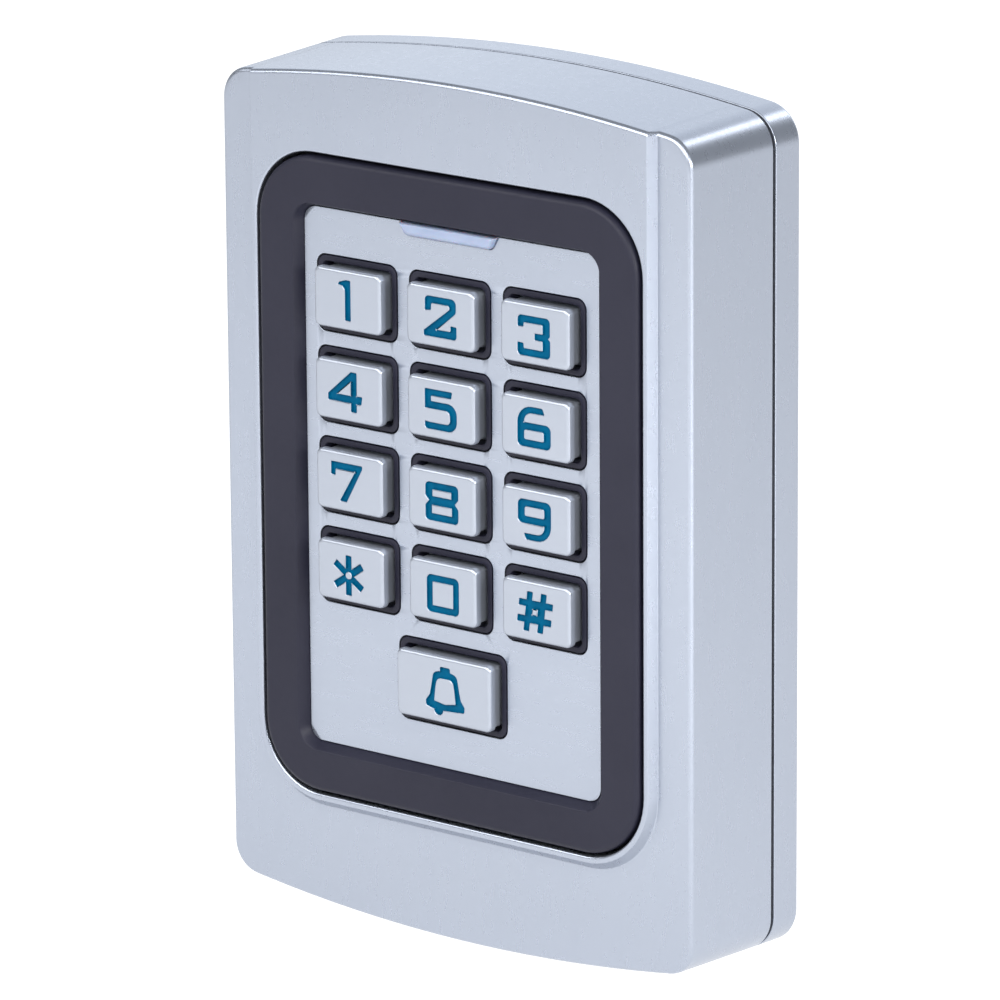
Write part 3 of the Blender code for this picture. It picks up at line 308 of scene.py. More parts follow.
def moulded_plastic(name, low, high, rough_low=0.42, rough_high=0.52):
    """Fine spark-eroded texture of a matt moulding."""
    n = Nodes(name).set(IOR=1.5, Specular_IOR_Level=0.22)
    n.colours(n.noise(60.0, 3.0), low, high)
    n.roughness(n.noise(900.0, 3.0), rough_low, rough_high)
    n.bump(n.noise(5200.0, 2.0), 0.12, 0.02 * MM)
    return n.material


def cast_resin(name):
    """Dark teal filling with slight pooling."""
    n = Nodes(name).set(IOR=1.5, Specular_IOR_Level=0.03)
    n.colours(n.noise(420.0, 3.0), (0.000, 0.056, 0.120), (0.000, 0.076, 0.156))
    n.roughness(n.noise(1500.0, 2.0), 0.30, 0.42)
    n.bump(n.noise(1100.0, 3.0), 0.25, 0.03 * MM)
    return n.material


def frosted_lens(name):
    """Milky light guide."""
    n = Nodes(name).set(IOR=1.49, Transmission_Weight=0.15)
    n.set(Subsurface_Weight=0.25, Subsurface_Scale=0.002)
    n.colours(n.noise(300.0, 2.0), (0.24, 0.29, 0.41), (0.27, 0.32, 0.44))
    n.roughness(n.noise(2400.0, 2.0), 0.16, 0.26)
    n.bump(n.noise(2600.0, 2.0), 0.08, 0.02 * MM)
    return n.material


def soft_rubber(name, low, high):
    """Matt rubber with a faint orange-peel skin."""
    n = Nodes(name).set(IOR=1.5)
    n.colours(n.noise(150.0, 3.0), low, high)
    n.roughness(n.noise(900.0, 3.0), 0.62, 0.80)
    n.bump(n.noise(3000.0, 3.0), 0.15, 0.03 * MM)
    return n.material


def plated_steel(name):
    """Zinc plating with turning marks."""
    n = Nodes(name).set(Metallic=1.0)
    n.colours(n.noise(500.0, 3.0), (0.52, 0.52, 0.50), (0.68, 0.68, 0.66))
    n.roughness(n.noise(2200.0, 3.0), 0.22, 0.36)
    n.bump(n.noise(3800.0, 2.0), 0.10, 0.01 * MM)
    return n.material


def circuit_board(name):
    """Solder resist over copper areas."""
    n = Nodes(name).set(IOR=1.5)
    cell = n.tree.nodes.new("ShaderNodeTexVoronoi")
    cell.distance = "CHEBYCHEV"
    cell.inputs["Scale"].default_value = 320.0
    n.link(n.place, cell.inputs["Vector"])
    n.colours(cell.outputs["Distance"], (0.010, 0.110, 0.045), (0.016, 0.160, 0.065), 0.35, 0.45)
    n.roughness(n.noise(700.0, 2.0), 0.28, 0.40)
    n.bump(cell.outputs["Distance"], 0.20, 0.03 * MM)
    return n.material


def wound_copper(name):
    """Enamelled wire, seen as fine ridges around the winding."""
    n = Nodes(name).set(Metallic=0.9)
    ridges = n.tree.nodes.new("ShaderNodeTexWave")
    ridges.wave_type = "RINGS"
    ridges.rings_direction = "SPHERICAL"
    ridges.inputs["Scale"].default_value = 900.0
    ridges.inputs["Distortion"].default_value = 0.4
    n.link(n.place, ridges.inputs["Vector"])
    n.colours(ridges.outputs["Fac"], (0.32, 0.10, 0.035), (0.62, 0.25, 0.10))
    n.roughness(n.noise(900.0, 2.0), 0.25, 0.40)
    n.bump(ridges.outputs["Fac"], 0.4, 0.08 * MM)
    return n.material


def make_materials():
    silver_low, silver_high = (0.340, 0.371, 0.436), (0.350, 0.381, 0.446)
    along_x, along_z = (0.2, 1, 1), (1, 1, 0.25)
    return {
        "housing_lacquer": satin_lacquer("housing_lacquer", silver_low, silver_high, along_z),
        "key_plate_lacquer": satin_lacquer("key_plate_lacquer", silver_low, silver_high, along_x),
        "key_metal": satin_lacquer("key_metal", (0.320, 0.346, 0.400), (0.332, 0.358, 0.412),
                                   along_x, 0.65, 0.28, 0.36),
        "black_frame": moulded_plastic("black_frame", (0.010, 0.010, 0.020), (0.013, 0.013, 0.024)),
        "frosted_lens": frosted_lens("frosted_lens"),
        "legend_blue": cast_resin("legend_blue"),
        "silicone": soft_rubber("silicone", (0.17, 0.17, 0.18), (0.22, 0.22, 0.23)),
        "black_rubber": soft_rubber("black_rubber", (0.010, 0.010, 0.011), (0.018, 0.018, 0.019)),
        "copper": wound_copper("copper"),
        "circuit_board": circuit_board("circuit_board"),
        "chip_epoxy": moulded_plastic("chip_epoxy", (0.010, 0.010, 0.011), (0.016, 0.016, 0.017)),
        "capacitor_sleeve": moulded_plastic("capacitor_sleeve", (0.012, 0.014, 0.030),
                                            (0.020, 0.022, 0.040), 0.22, 0.32),
        "relay_case": moulded_plastic("relay_case", (0.012, 0.075, 0.28), (0.020, 0.100, 0.34),
                                      0.30, 0.42),
        "white_nylon": moulded_plastic("white_nylon", (0.70, 0.69, 0.63), (0.78, 0.77, 0.72)),
        "clear_epoxy": frosted_lens("clear_epoxy"),
        "zinc_steel": plated_steel("zinc_steel"),
    }


# Shapes

class Solid:
    """A closed body made of rings, walls between rings, and flat faces that fill rings."""

    def __init__(self):
        self.bm = bmesh.new()

    def ring(self, outline, y):
        """Points (x, z) at depth y; y is one depth, or one for each point."""
        depths = y if isinstance(y, (list, tuple)) else [y] * len(outline)
        return [self.bm.verts.new((x, depth, z)) for (x, z), depth in zip(outline, depths)]

    def edge(self, a, b):
        return self.bm.edges.get((a, b)) or self.bm.edges.new((a, b))

    def wall(self, a, b, closed=True):
        count = len(a) if closed else len(a) - 1
        for i in range(count):
            j = (i + 1) % len(a)
            self.bm.faces.new((a[i], a[j], b[j], b[i]))

    def fill(self, *rings, normal=(0, 1, 0)):
        """Flat face inside the first ring and outside the others."""
        edges = []
        for ring in rings:
            edges += [self.edge(ring[i - 1], ring[i]) for i in range(len(ring))]
        bmesh.ops.triangle_fill(self.bm, use_beauty=True, edges=edges, normal=normal)

    def stack(self, levels, close_start=True, close_end=True):
        """Loft through (outline, y) levels; returns the first and the last ring."""
        rings = [self.ring(outline, y) for outline, y in levels]
        for a, b in zip(rings, rings[1:]):
            self.wall(a, b)
        if close_start:
            self.fill(rings[0])
        if close_end:
            self.fill(rings[-1])
        return rings[0], rings[-1]

    def finish(self, name, slot, body, *replaced, sharp_deg=40.0):
        bmesh.ops.recalc_face_normals(self.bm, faces=self.bm.faces)
        mesh = bpy.data.meshes.new(name)
        self.bm.to_mesh(mesh)
        self.bm.free()
        mesh.materials.append(MATERIALS[slot])
        mesh.shade_smooth()
        mesh.set_sharp_from_angle(angle=math.radians(sharp_deg))
        piece = bpy.data.objects.new(name, mesh)
        bpy.context.collection.objects.link(piece)
        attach(piece, body)
        if replaced:
            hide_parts(*replaced)
        return piece


def even_shading(piece):
    """Flat faces keep their own normal and only the rounded edges bend the light."""
    weighted = piece.modifiers.new("even_shading", "WEIGHTED_NORMAL")
    weighted.weight = 100
    weighted.keep_sharp = True


def arc(cx, cz, radius_x, start_deg, end_deg, segments, radius_z=None):
    radius_z = radius_x if radius_z is None else radius_z
    angles = [start_deg + (end_deg - start_deg) * i / segments for i in range(segments + 1)]
    return [(cx + radius_x * math.cos(math.radians(a)), cz + radius_z * math.sin(math.radians(a)))
            for a in angles]


def circle(cx, cz, radius, segments=48):
    return arc(cx, cz, radius, 0.0, 360.0, segments)[:-1]


def rounded_rect(half_w, top, bottom, radius, segments=10, cx=0.0):
    right = cx + half_w - radius
    left = cx - half_w + radius
    return (arc(right, top - radius, radius, 0, 90, segments)
            + arc(left, top - radius, radius, 90, 180, segments)
            + arc(left, bottom + radius, radius, 180, 270, segments)
            + arc(right, bottom + radius, radius, 270, 360, segments))


def centred_rect(cx, cz, width, height, radius, segments=8):
    return rounded_rect(width / 2, cz + height / 2, cz - height / 2, radius, segments, cx)


def quarter_round(radius, segments=5):
    """(inset, depth) pairs of a rounded edge, from the front face to the side."""
    steps = [math.radians(90.0 * k / segments) for k in range(segments + 1)]
    return [(radius * (1 - math.sin(a)), radius * (1 - math.cos(a))) for a in steps]


def case_end_z(x, inset):
    """Height of the shallow arc that closes the casing at both ends."""
    return CASE_HALF_H - CASE_END_R + math.sqrt((CASE_END_R - inset) ** 2 - x ** 2)


def case_outline(inset, stations, segments=12):
    """Casing outline; stations are the x places of points on the end arcs, left to right."""
    corner = CASE_CORNER_R - inset
    end = CASE_END_R - inset
    corner_x = CASE_HALF_W - CASE_CORNER_R
    rise = math.sqrt((end - corner) ** 2 - corner_x ** 2)
    corner_z = CASE_HALF_H - CASE_END_R + rise
    sweep = math.degrees(math.atan2(rise, corner_x))
    top_right = arc(corner_x, corner_z, corner, 0, sweep, segments)
    top = [(x, case_end_z(x, inset)) for x in reversed(stations)]
    top_left = [(-x, z) for x, z in reversed(top_right)]
    upper = top_right + top + top_left
    return upper + [(x, -z) for x, z in reversed(upper)]


def case_section(inset, y, stations, segments=12):
    """Casing outline at depth y, wider by the draft behind the wings."""
    return case_outline(inset - DRAFT * (y - WING_Y), stations, segments)


def plain_stations(count=21):
    reach = CASE_HALF_W - CASE_CORNER_R - 1.0 * MM
    return [-reach + 2 * reach * i / (count - 1) for i in range(count)]


def panel_path(offset_x, offset_z, segments=14):
    """Open path down the right side of the panel, round its bottom and up the left side."""
    corner_x = PANEL_HALF_W - PANEL_CORNER_R
    corner_z = PANEL_BOTTOM_Z + PANEL_CORNER_R
    radius_x = PANEL_CORNER_R + offset_x
    radius_z = PANEL_CORNER_R + offset_z
    return (arc(corner_x, corner_z, radius_x, 0, -90, segments, radius_z)
            + arc(-corner_x, corner_z, radius_x, -90, -180, segments, radius_z))


def step_profile(segments=4):
    """Section of the step from panel to wing, as (offset at the sides, at the bottom, depth)."""
    drop = WING_Y - PANEL_Y
    points = []
    for k in range(segments + 1):
        a = math.radians(90.0 * k / segments)
        out = STEP_EDGE_R * (math.sin(a) - 1)
        points.append((out, out, STEP_EDGE_R * (1 - math.cos(a))))
    for k in range(segments + 1):
        a = math.radians(90.0 * k / segments)
        bend = 1 - math.cos(a)
        points.append((STEP_LEAN + STEP_EDGE_R * bend,
                       COVE_START + (COVE_WIDTH - COVE_START) * bend,
                       drop - STEP_EDGE_R + STEP_EDGE_R * math.sin(a)))
    return points


def boss_places():
    places = []
    for index in (1, 2, 3, 4):
        low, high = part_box("board_screw_%d" % index)
        places.append(((low.x + high.x) / 2, (low.z + high.z) / 2))
    return places


def key_places():
    """Every key as (label, centre x, centre z, hole width, hole height)."""
    places = []
    for label in LABELS:
        low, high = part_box("key_%s_cap" % label)
        places.append((label, (low.x + high.x) / 2, (low.z + high.z) / 2,
                       high.x - low.x + 2 * HOLE_MARGIN, high.z - low.z + 2 * HOLE_MARGIN))
    return places


# Legends. A contour is a list of corners (x, z, corner radius) in millimetres from its centre.

def rounded_contour(corners, segments=6):
    """Replace each corner by an arc of its radius, where it has one."""
    points = []
    for i, (x, z, radius) in enumerate(corners):
        before = corners[i - 1]
        after = corners[(i + 1) % len(corners)]
        ux, uz = before[0] - x, before[1] - z
        vx, vz = after[0] - x, after[1] - z
        u_len, v_len = math.hypot(ux, uz), math.hypot(vx, vz)
        ux, uz, vx, vz = ux / u_len, uz / u_len, vx / v_len, vz / v_len
        angle = math.acos(max(-1.0, min(1.0, ux * vx + uz * vz)))
        if radius < 0.01 or angle > math.radians(170):
            points.append((x, z))
            continue
        reach = radius / math.tan(angle / 2)
        start = (x + ux * reach, z + uz * reach)
        stop = (x + vx * reach, z + vz * reach)
        weight = math.sin(angle / 2)
        steps = segments if radius > 0.25 else 3
        for k in range(steps + 1):
            t = k / steps
            a, b, c = (1 - t) ** 2, 2 * t * (1 - t) * weight, t ** 2
            total = a + b + c
            points.append(((a * start[0] + b * x + c * stop[0]) / total,
                           (a * start[1] + b * z + c * stop[1]) / total))
    return points


def box_contour(left, top, right, bottom, radius):
    return [(left, bottom, radius), (right, bottom, radius),
            (right, top, radius), (left, top, radius)]


def half_turn(contours):
    return [[(-x, -z, r) for x, z, r in contour] for contour in contours]


def digit_nine():
    outer = [(-1.45, -2.93, 0.3), (2.83, -2.93, 2.4), (2.83, 2.9, 0.8), (-2.83, 2.9, 0.8),
             (-2.83, -0.55, 0.8), (1.75, -0.55, 0.05), (1.75, -2.1, 1.3), (-1.75, -2.1, 0.05)]
    return [outer, box_contour(-1.72, 1.95, 1.75, 0.42, 0.35)]


def star_contours(arm=2.93, half_w=0.48, lean_deg=35.0, eye=0.6):
    angles = [lean_deg, 90, 180 - lean_deg, 180 + lean_deg, 270, 360 - lean_deg]
    outer = []
    for i, angle in enumerate(angles):
        before = angles[i - 1] - (360 if i == 0 else 0)
        middle = math.radians((before + angle) / 2)
        crotch = half_w / math.sin(math.radians(angle - before) / 2)
        outer.append((crotch * math.cos(middle), crotch * math.sin(middle), 0.06))
        a = math.radians(angle)
        for side in (-half_w, half_w):
            outer.append((arm * math.cos(a) - side * math.sin(a),
                          arm * math.sin(a) + side * math.cos(a), 0.08))
    return [outer, [(x, z, 0) for x, z in circle(0, 0, eye, 20)]]


def hash_contours(reach=2.9, inner=0.75, outer_edge=1.65, eye=0.48, slant=0.12):
    side = [(-outer_edge, outer_edge), (-outer_edge, reach), (-inner, reach), (-inner, outer_edge),
            (inner, outer_edge), (inner, reach), (outer_edge, reach)]
    outer = []
    for turn in range(4):
        for x, z in side:
            for _ in range(turn):
                x, z = z, -x
            outer.append((x + slant * z, z, 0.08))
    hole = [(x + slant * z, z, 0.05) for x, z in ((-eye, eye), (eye, eye), (eye, -eye), (-eye, -eye))]
    return [outer, hole]


def bell_contours():
    clapper_x, clapper_z, clapper_r = -1.15, -2.85, 0.75
    outer = [(-0.85, 3.6, 0.2), (0.85, 3.6, 0.2), (0.85, 2.95, 0.15), (2.05, 2.65, 0.9),
             (2.5, 0.2, 0.8), (2.75, -0.9, 0.6), (3.4, -1.8, 0.25), (3.35, -2.6, 0.25)]
    outer += [(x, z, 0) for x, z in arc(clapper_x, clapper_z, clapper_r, 0, -180, 14)]
    outer += [(-3.35, -2.45, 0.25), (-3.4, -1.75, 0.25), (-2.7, -0.8, 0.6), (-2.4, 0.6, 0.8),
              (-2.05, 2.65, 0.9), (-0.85, 2.95, 0.15)]
    inner = [(-2.0, -1.65, 0.2), (0.0, -2.0, 0), (1.9, -1.65, 0.2), (1.65, 0.6, 0.5),
             (1.35, 1.98, 0.9), (-1.45, 1.98, 0.9), (-1.75, 0.6, 0.5)]
    return [outer, inner]


PLAIN_LEGENDS = {
    "1": [[(1.0, 2.95, 0.1), (1.0, -2.95, 0.1), (0.08, -2.95, 0.1), (0.08, 1.6, 0.3),
           (-0.35, 2.15, 0.2), (-1.15, 2.3, 0.03), (-0.9, 2.6, 0.1), (0.2, 2.95, 0.4)]],
    "2": [[(-2.78, -2.91, 0.1), (2.84, -2.91, 0.5), (2.84, -1.1, 0.1), (1.88, -1.05, 0.1),
           (1.88, -1.91, 0.3), (-0.75, -1.91, 0.05), (2.75, 1.0, 0.7), (2.75, 2.91, 0.75),
           (-2.6, 2.91, 0.6), (-2.6, 0.82, 0.1), (-1.62, 0.98, 0.1), (-1.55, 2.0, 0.25),
           (1.66, 2.0, 0.3), (1.72, 1.35, 0.3), (-2.85, -2.23, 0.1)]],
    "3": [[(-2.7, 1.25, 0.1), (-1.8, 1.3, 0.1), (-1.75, 1.95, 0.2), (1.6, 1.95, 0.2),
           (1.6, 0.48, 0.2), (0.22, 0.45, 0.08), (0.22, -0.42, 0.08), (1.6, -0.45, 0.2),
           (1.6, -1.95, 0.2), (-1.75, -1.95, 0.2), (-1.8, -1.2, 0.1), (-2.75, -1.15, 0.1),
           (-2.75, -2.9, 0.65), (2.8, -2.9, 0.65), (2.8, -0.35, 0.3), (2.4, 0.02, 0.1),
           (2.75, 0.38, 0.3), (2.75, 2.88, 0.6), (-2.7, 2.88, 0.6)]],
    "4": [[(1.0, 2.93, 0.1), (2.0, 2.93, 0.1), (2.0, -0.53, 0.05), (3.0, -0.5, 0.1),
           (2.8, -1.62, 0.1), (2.0, -1.62, 0.05), (2.0, -2.9, 0.1), (1.05, -2.9, 0.1),
           (1.05, -1.62, 0.05), (-3.05, -1.6, 0.1), (-3.05, -0.7, 0.2)],
          [(1.08, 1.6, 0.03), (1.08, -0.57, 0.03), (-1.45, -0.57, 0.03)]],
    "5": [[(-2.76, 2.91, 0.1), (1.96, 2.91, 0.1), (1.8, 2.04, 0.1), (-1.75, 2.04, 0.1),
           (-1.75, 1.11, 0.1), (2.76, 1.11, 1.5), (2.76, -2.9, 1.5), (-2.76, -2.9, 0.5),
           (-2.76, -1.9, 0.1), (-1.95, -2.0, 0.1), (1.65, -2.0, 0.7), (1.65, 0.14, 0.8),
           (-2.76, 0.14, 0.1)]],
    "7": [[(-2.73, 2.83, 0.1), (2.77, 2.83, 0.1), (2.77, 2.45, 0.1), (-0.05, -2.86, 0.1),
           (-1.2, -2.86, 0.1), (1.6, 1.87, 0.05), (-2.0, 1.87, 0.08), (-2.05, 0.9, 0.08),
           (-2.73, 1.0, 0.08)]],
    "8": [[(-2.86, 2.8, 0.65), (-2.86, 0.85, 0.4), (-2.2, 0.1, 0.15), (-2.86, -0.65, 0.4),
           (-2.86, -2.8, 0.65), (2.86, -2.8, 0.65), (2.86, -0.65, 0.4), (2.2, 0.1, 0.15),
           (2.86, 0.85, 0.4), (2.86, 2.8, 0.65)],
          box_contour(-1.7, 1.83, 1.7, 0.71, 0.08),
          box_contour(-1.8, -0.48, 1.8, -1.83, 0.08)],
    "0": [box_contour(-2.8, 2.75, 2.8, -2.75, 0.75), box_contour(-1.85, 1.83, 1.85, -1.83, 0.1)],
}


def legend_contours(label):
    """Outer contour first, then the islands of bare metal inside it."""
    if label == "6":
        return half_turn(digit_nine())
    if label == "9":
        return digit_nine()
    if label == "star":
        return star_contours()
    if label == "hash":
        return hash_contours()
    if label == "bell":
        return bell_contours()
    return PLAIN_LEGENDS[label]


def offset_contour(points, distance):
    """Move a closed contour towards its own inside by a small distance."""
    area = sum(points[i - 1][0] * points[i][1] - points[i][0] * points[i - 1][1]
               for i in range(len(points)))
    sign = 1.0 if area > 0 else -1.0
    moved = []
    for i, (x, z) in enumerate(points):
        before, after = points[i - 1], points[(i + 1) % len(points)]
        normals = []
        for (ax, az), (bx, bz) in ((before, (x, z)), ((x, z), after)):
            length = math.hypot(bx - ax, bz - az)
            normals.append((-(bz - az) / length * sign, (bx - ax) / length * sign))
        (nx, nz), (mx, mz) = normals
        scale = distance / max(0.3, 1.0 + nx * mx + nz * mz)
        moved.append((x + (nx + mx) * scale, z + (nz + mz) * scale))
    return moved


def placed_legend(label, x, z):
    shift_x, shift_z = LEGEND_SHIFT[label]
    contours = [[(x + (shift_x + px) * MM, z + (shift_z + pz * LEGEND_SCALE_Z) * MM)
                 for px, pz in rounded_contour(contour)]
                for contour in legend_contours(label)]
    return ([offset_contour(contours[0], -LEGEND_STROKE)]
            + [offset_contour(island, LEGEND_STROKE) for island in contours[1:]])


# Pieces

def key_cap(label, x, z, hole_w, hole_h):
    """Satin metal cap: rounded edges, flange and an engraved legend with softened rims."""
    width = hole_w - 2 * (HOLE_MARGIN + KEY_LAP)
    height = hole_h - 2 * (HOLE_MARGIN + KEY_LAP)
    flange_y = KEY_REAR_Y - KEY_FLANGE_T
    levels = [(centred_rect(x, z, width - 2 * inset, height - 2 * inset,
                            KEY_CORNER_R - inset * KEY_CORNER_TAPER),
               KEY_FACE_Y + depth) for inset, depth in quarter_round(KEY_EDGE_R)]
    head = centred_rect(x, z, width, height, KEY_CORNER_R)
    neck = centred_rect(x, z, width - 2 * KEY_NECK_INSET, height - 2 * KEY_NECK_INSET,
                        KEY_CORNER_R - KEY_NECK_INSET)
    flange = centred_rect(x, z, width + 2 * KEY_LAP, height + 2 * KEY_LAP, KEY_CORNER_R)
    head_rear_y = KEY_FACE_Y + KEY_HEAD_T
    levels += [(head, head_rear_y), (neck, head_rear_y + KEY_NECK_INSET), (neck, flange_y),
               (flange, flange_y), (flange, KEY_REAR_Y)]
    solid = Solid()
    face, _ = solid.stack(levels, close_start=False)
    contours = placed_legend(label, x, z)
    rims, necks, feet = [], [], []
    for i, points in enumerate(contours):
        outward = -ENGRAVING_EDGE if i == 0 else ENGRAVING_EDGE
        rims.append(solid.ring(offset_contour(points, outward), KEY_FACE_Y))
        necks.append(solid.ring(points, KEY_FACE_Y + ENGRAVING_EDGE))
        feet.append(solid.ring(points, KEY_FACE_Y + ENGRAVING_DEPTH))
        solid.wall(rims[-1], necks[-1])
        solid.wall(necks[-1], feet[-1])
    solid.fill(face, rims[0])
    solid.fill(*feet)
    for island in rims[1:]:
        solid.fill(island)
    cap = solid.finish("cap_%s" % label, "key_metal", "key_%s" % label, "key_%s_cap" % label)
    even_shading(cap)


def key_legend(label, x, z):
    """Blue resin that fills the engraving and climbs its walls to just under the face."""
    contours = placed_legend(label, x, z)
    solid = Solid()
    pools, rears = [], []
    for i, points in enumerate(contours):
        inward = MENISCUS if i == 0 else -MENISCUS
        pool = solid.ring(offset_contour(points, inward), LEGEND_LOW.y + RESIN_SUNK)
        brim = solid.ring(points, KEY_FACE_Y + ENGRAVING_EDGE + RESIN_BRIM)
        rear = solid.ring(points, KEY_FACE_Y + ENGRAVING_DEPTH)
        solid.wall(pool, brim)
        solid.wall(brim, rear)
        pools.append(pool)
        rears.append(rear)
    solid.fill(*pools)
    solid.fill(*rears)
    solid.finish("legend_%s" % label, "legend_blue", "key_%s" % label, "key_%s_legend" % label)


def cut(piece, cutter):
    """Take the cutter out of the piece and delete the cutter."""
    boolean = piece.modifiers.new("cut", "BOOLEAN")
    boolean.operation = "DIFFERENCE"
    boolean.solver = "EXACT"
    boolean.object = cutter
    bpy.context.view_layer.update()
    evaluated = piece.evaluated_get(bpy.context.evaluated_depsgraph_get())
    mesh = bpy.data.meshes.new_from_object(evaluated)
    piece.modifiers.remove(boolean)
    old = piece.data
    piece.data = mesh
    bpy.data.meshes.remove(old)
    bpy.data.objects.remove(cutter, do_unlink=True)


def upright_rings(solid, levels, cy, segments=48):
    """Rings around a vertical axis; levels are (radius, z)."""
    return [[solid.bm.verts.new((px, cy + py, z)) for px, py in circle(0, 0, radius, segments)]
            for radius, z in levels]


def upright_cutter(levels, cy):
    solid = Solid()
    rings = upright_rings(solid, levels, cy)
    for a, b in zip(rings, rings[1:]):
        solid.wall(a, b)
    solid.bm.faces.new(rings[0])
    solid.bm.faces.new(rings[-1])
    bmesh.ops.recalc_face_normals(solid.bm, faces=solid.bm.faces)
    mesh = bpy.data.meshes.new("cutter")
    solid.bm.to_mesh(mesh)
    solid.bm.free()
    cutter = bpy.data.objects.new("cutter", mesh)
    bpy.context.collection.objects.link(cutter)
    return cutter


def housing_shell():
    """Cast front shell: raised panel with a soft cove at its foot, wings, and the pad opening."""
    profile = step_profile()
    sides = [PANEL_HALF_W + out for out, _, _ in profile]
    inner = [sides[0] * k / 9 for k in range(-9, 10)]
    stations = [-s for s in reversed(sides[1:])] + inner + sides[1:]
    solid = Solid()

    def depth_at(x, z):
        if z < 0 or abs(x) > sides[-1] + 1e-7:
            return WING_Y
        if abs(x) <= sides[0] + 1e-7:
            return PANEL_Y
        nearest = min(range(len(sides)), key=lambda k: abs(sides[k] - abs(x)))
        return PANEL_Y + profile[nearest][2]

    rings = []
    for inset, depth in quarter_round(CASE_EDGE_R, 4):
        outline = case_outline(inset, stations)
        rings.append(solid.ring(outline, [depth_at(x, z) + depth
                                          for (x, z) in case_outline(0.0, stations)]))
    for inset, depth in reversed(quarter_round(SEAM_EDGE_R, 2)):
        y = HOUSING_REAR_Y - depth
        rings.append(solid.ring(case_section(inset, y, stations), y))
    for a, b in zip(rings, rings[1:]):
        solid.wall(a, b)
    front, rear = rings[0], rings[-1]
    start = len(arc(0, 0, 1, 0, 90, 12))
    count = len(stations)

    def top_vert(station):
        return front[start + count - 1 - station]

    paths = []
    for k, (out, down, depth) in enumerate(profile):
        left = len(profile) - 1 - k
        paths.append([top_vert(count - 1 - left)]
                     + solid.ring(panel_path(out, down), PANEL_Y + depth)
                     + [top_vert(left)])
    for a, b in zip(paths, paths[1:]):
        solid.wall(a, b, closed=False)
    lip_rings = [solid.ring(opening_outline(inset), PANEL_Y + depth)
                 for inset, depth in quarter_round(OPENING_LIP, 4)]
    lip_rings.append(solid.ring(opening_outline(0.0), FRONT_WALL_INSIDE_Y))
    for a, b in zip(lip_rings, lip_rings[1:]):
        solid.wall(a, b)
    panel_top = [top_vert(s) for s in range(len(profile), count - len(profile))]
    solid.fill(paths[0] + panel_top, lip_rings[0])
    solid.fill(front[start + count - 1:] + front[:start + 1] + paths[-1][1:-1])

    cavity_front, cavity_rear = solid.stack([
        (case_section(WALL_T, FRONT_WALL_INSIDE_Y, plain_stations()), FRONT_WALL_INSIDE_Y),
        (case_section(WALL_T, HOUSING_REAR_Y, plain_stations()), HOUSING_REAR_Y),
    ], False, False)
    solid.fill(rear, cavity_rear)
    bosses = []
    for x, z in boss_places():
        foot, end = solid.stack([(circle(x, z, BOSS_R, 32), FRONT_WALL_INSIDE_Y),
                                 (circle(x, z, BOSS_R, 32), BOSS_REAR_Y)], False, False)
        hole, _ = solid.stack([(circle(x, z, BOSS_HOLE_R, 32), BOSS_REAR_Y),
                               (circle(x, z, BOSS_HOLE_R, 32), BOSS_REAR_Y - BOSS_HOLE_DEPTH)],
                              False, True)
        solid.fill(end, hole)
        bosses.append(foot)
    solid.fill(cavity_front, lip_rings[-1], *bosses)
    shell = solid.finish("housing_shell", "housing_lacquer", "root", "front_housing")
    head_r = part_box("security_screw")[1].x + LOCK_HEAD_GAP
    cut(shell, upright_cutter([(head_r, -CASE_HALF_H - CUTTER_PAST),
                               (head_r, LOCK_SHOULDER_Z),
                               (LOCK_SHANK_HOLE_R, LOCK_SHOULDER_Z),
                               (LOCK_SHANK_HOLE_R, LOCK_SHOULDER_Z + LOCK_SHANK_HOLE_DEPTH)],
                              LOCK_SCREW_Y))
    even_shading(shell)


def opening_outline(grow, segments=14):
    return rounded_rect(OPENING_HALF_W + grow, OPENING_TOP_Z + grow, OPENING_BOTTOM_Z - grow,
                        OPENING_R + grow, segments)


def recess_outline(grow, grow_top=None, segments=8):
    """Outline of the recess that holds the key plate; its top can grow by another amount."""
    grow_top = grow if grow_top is None else grow_top
    return rounded_rect(FRAME_INNER_HALF_W + grow, FRAME_INNER_TOP_Z + grow_top,
                        FRAME_INNER_BOTTOM_Z - grow, FRAME_INNER_R + grow, segments)


def lens_outline(grow, top_z=None):
    """Trapezium with rounded lower corners, wider at its top."""
    top = LENS_HIGH.z + grow if top_z is None else top_z
    bottom = LENS_LOW.z - LENS_EXTRA - grow
    top_w, bottom_w = LENS_TOP_HALF_W + grow, LENS_BOTTOM_HALF_W + grow
    corners = [(bottom_w, bottom, LENS_R), (top_w, top, 0),
               (-top_w, top, 0), (-bottom_w, bottom, LENS_R)]
    return [(x * MM, z * MM) for x, z in
            rounded_contour([(x / MM, z / MM, r / MM) for x, z, r in corners])]


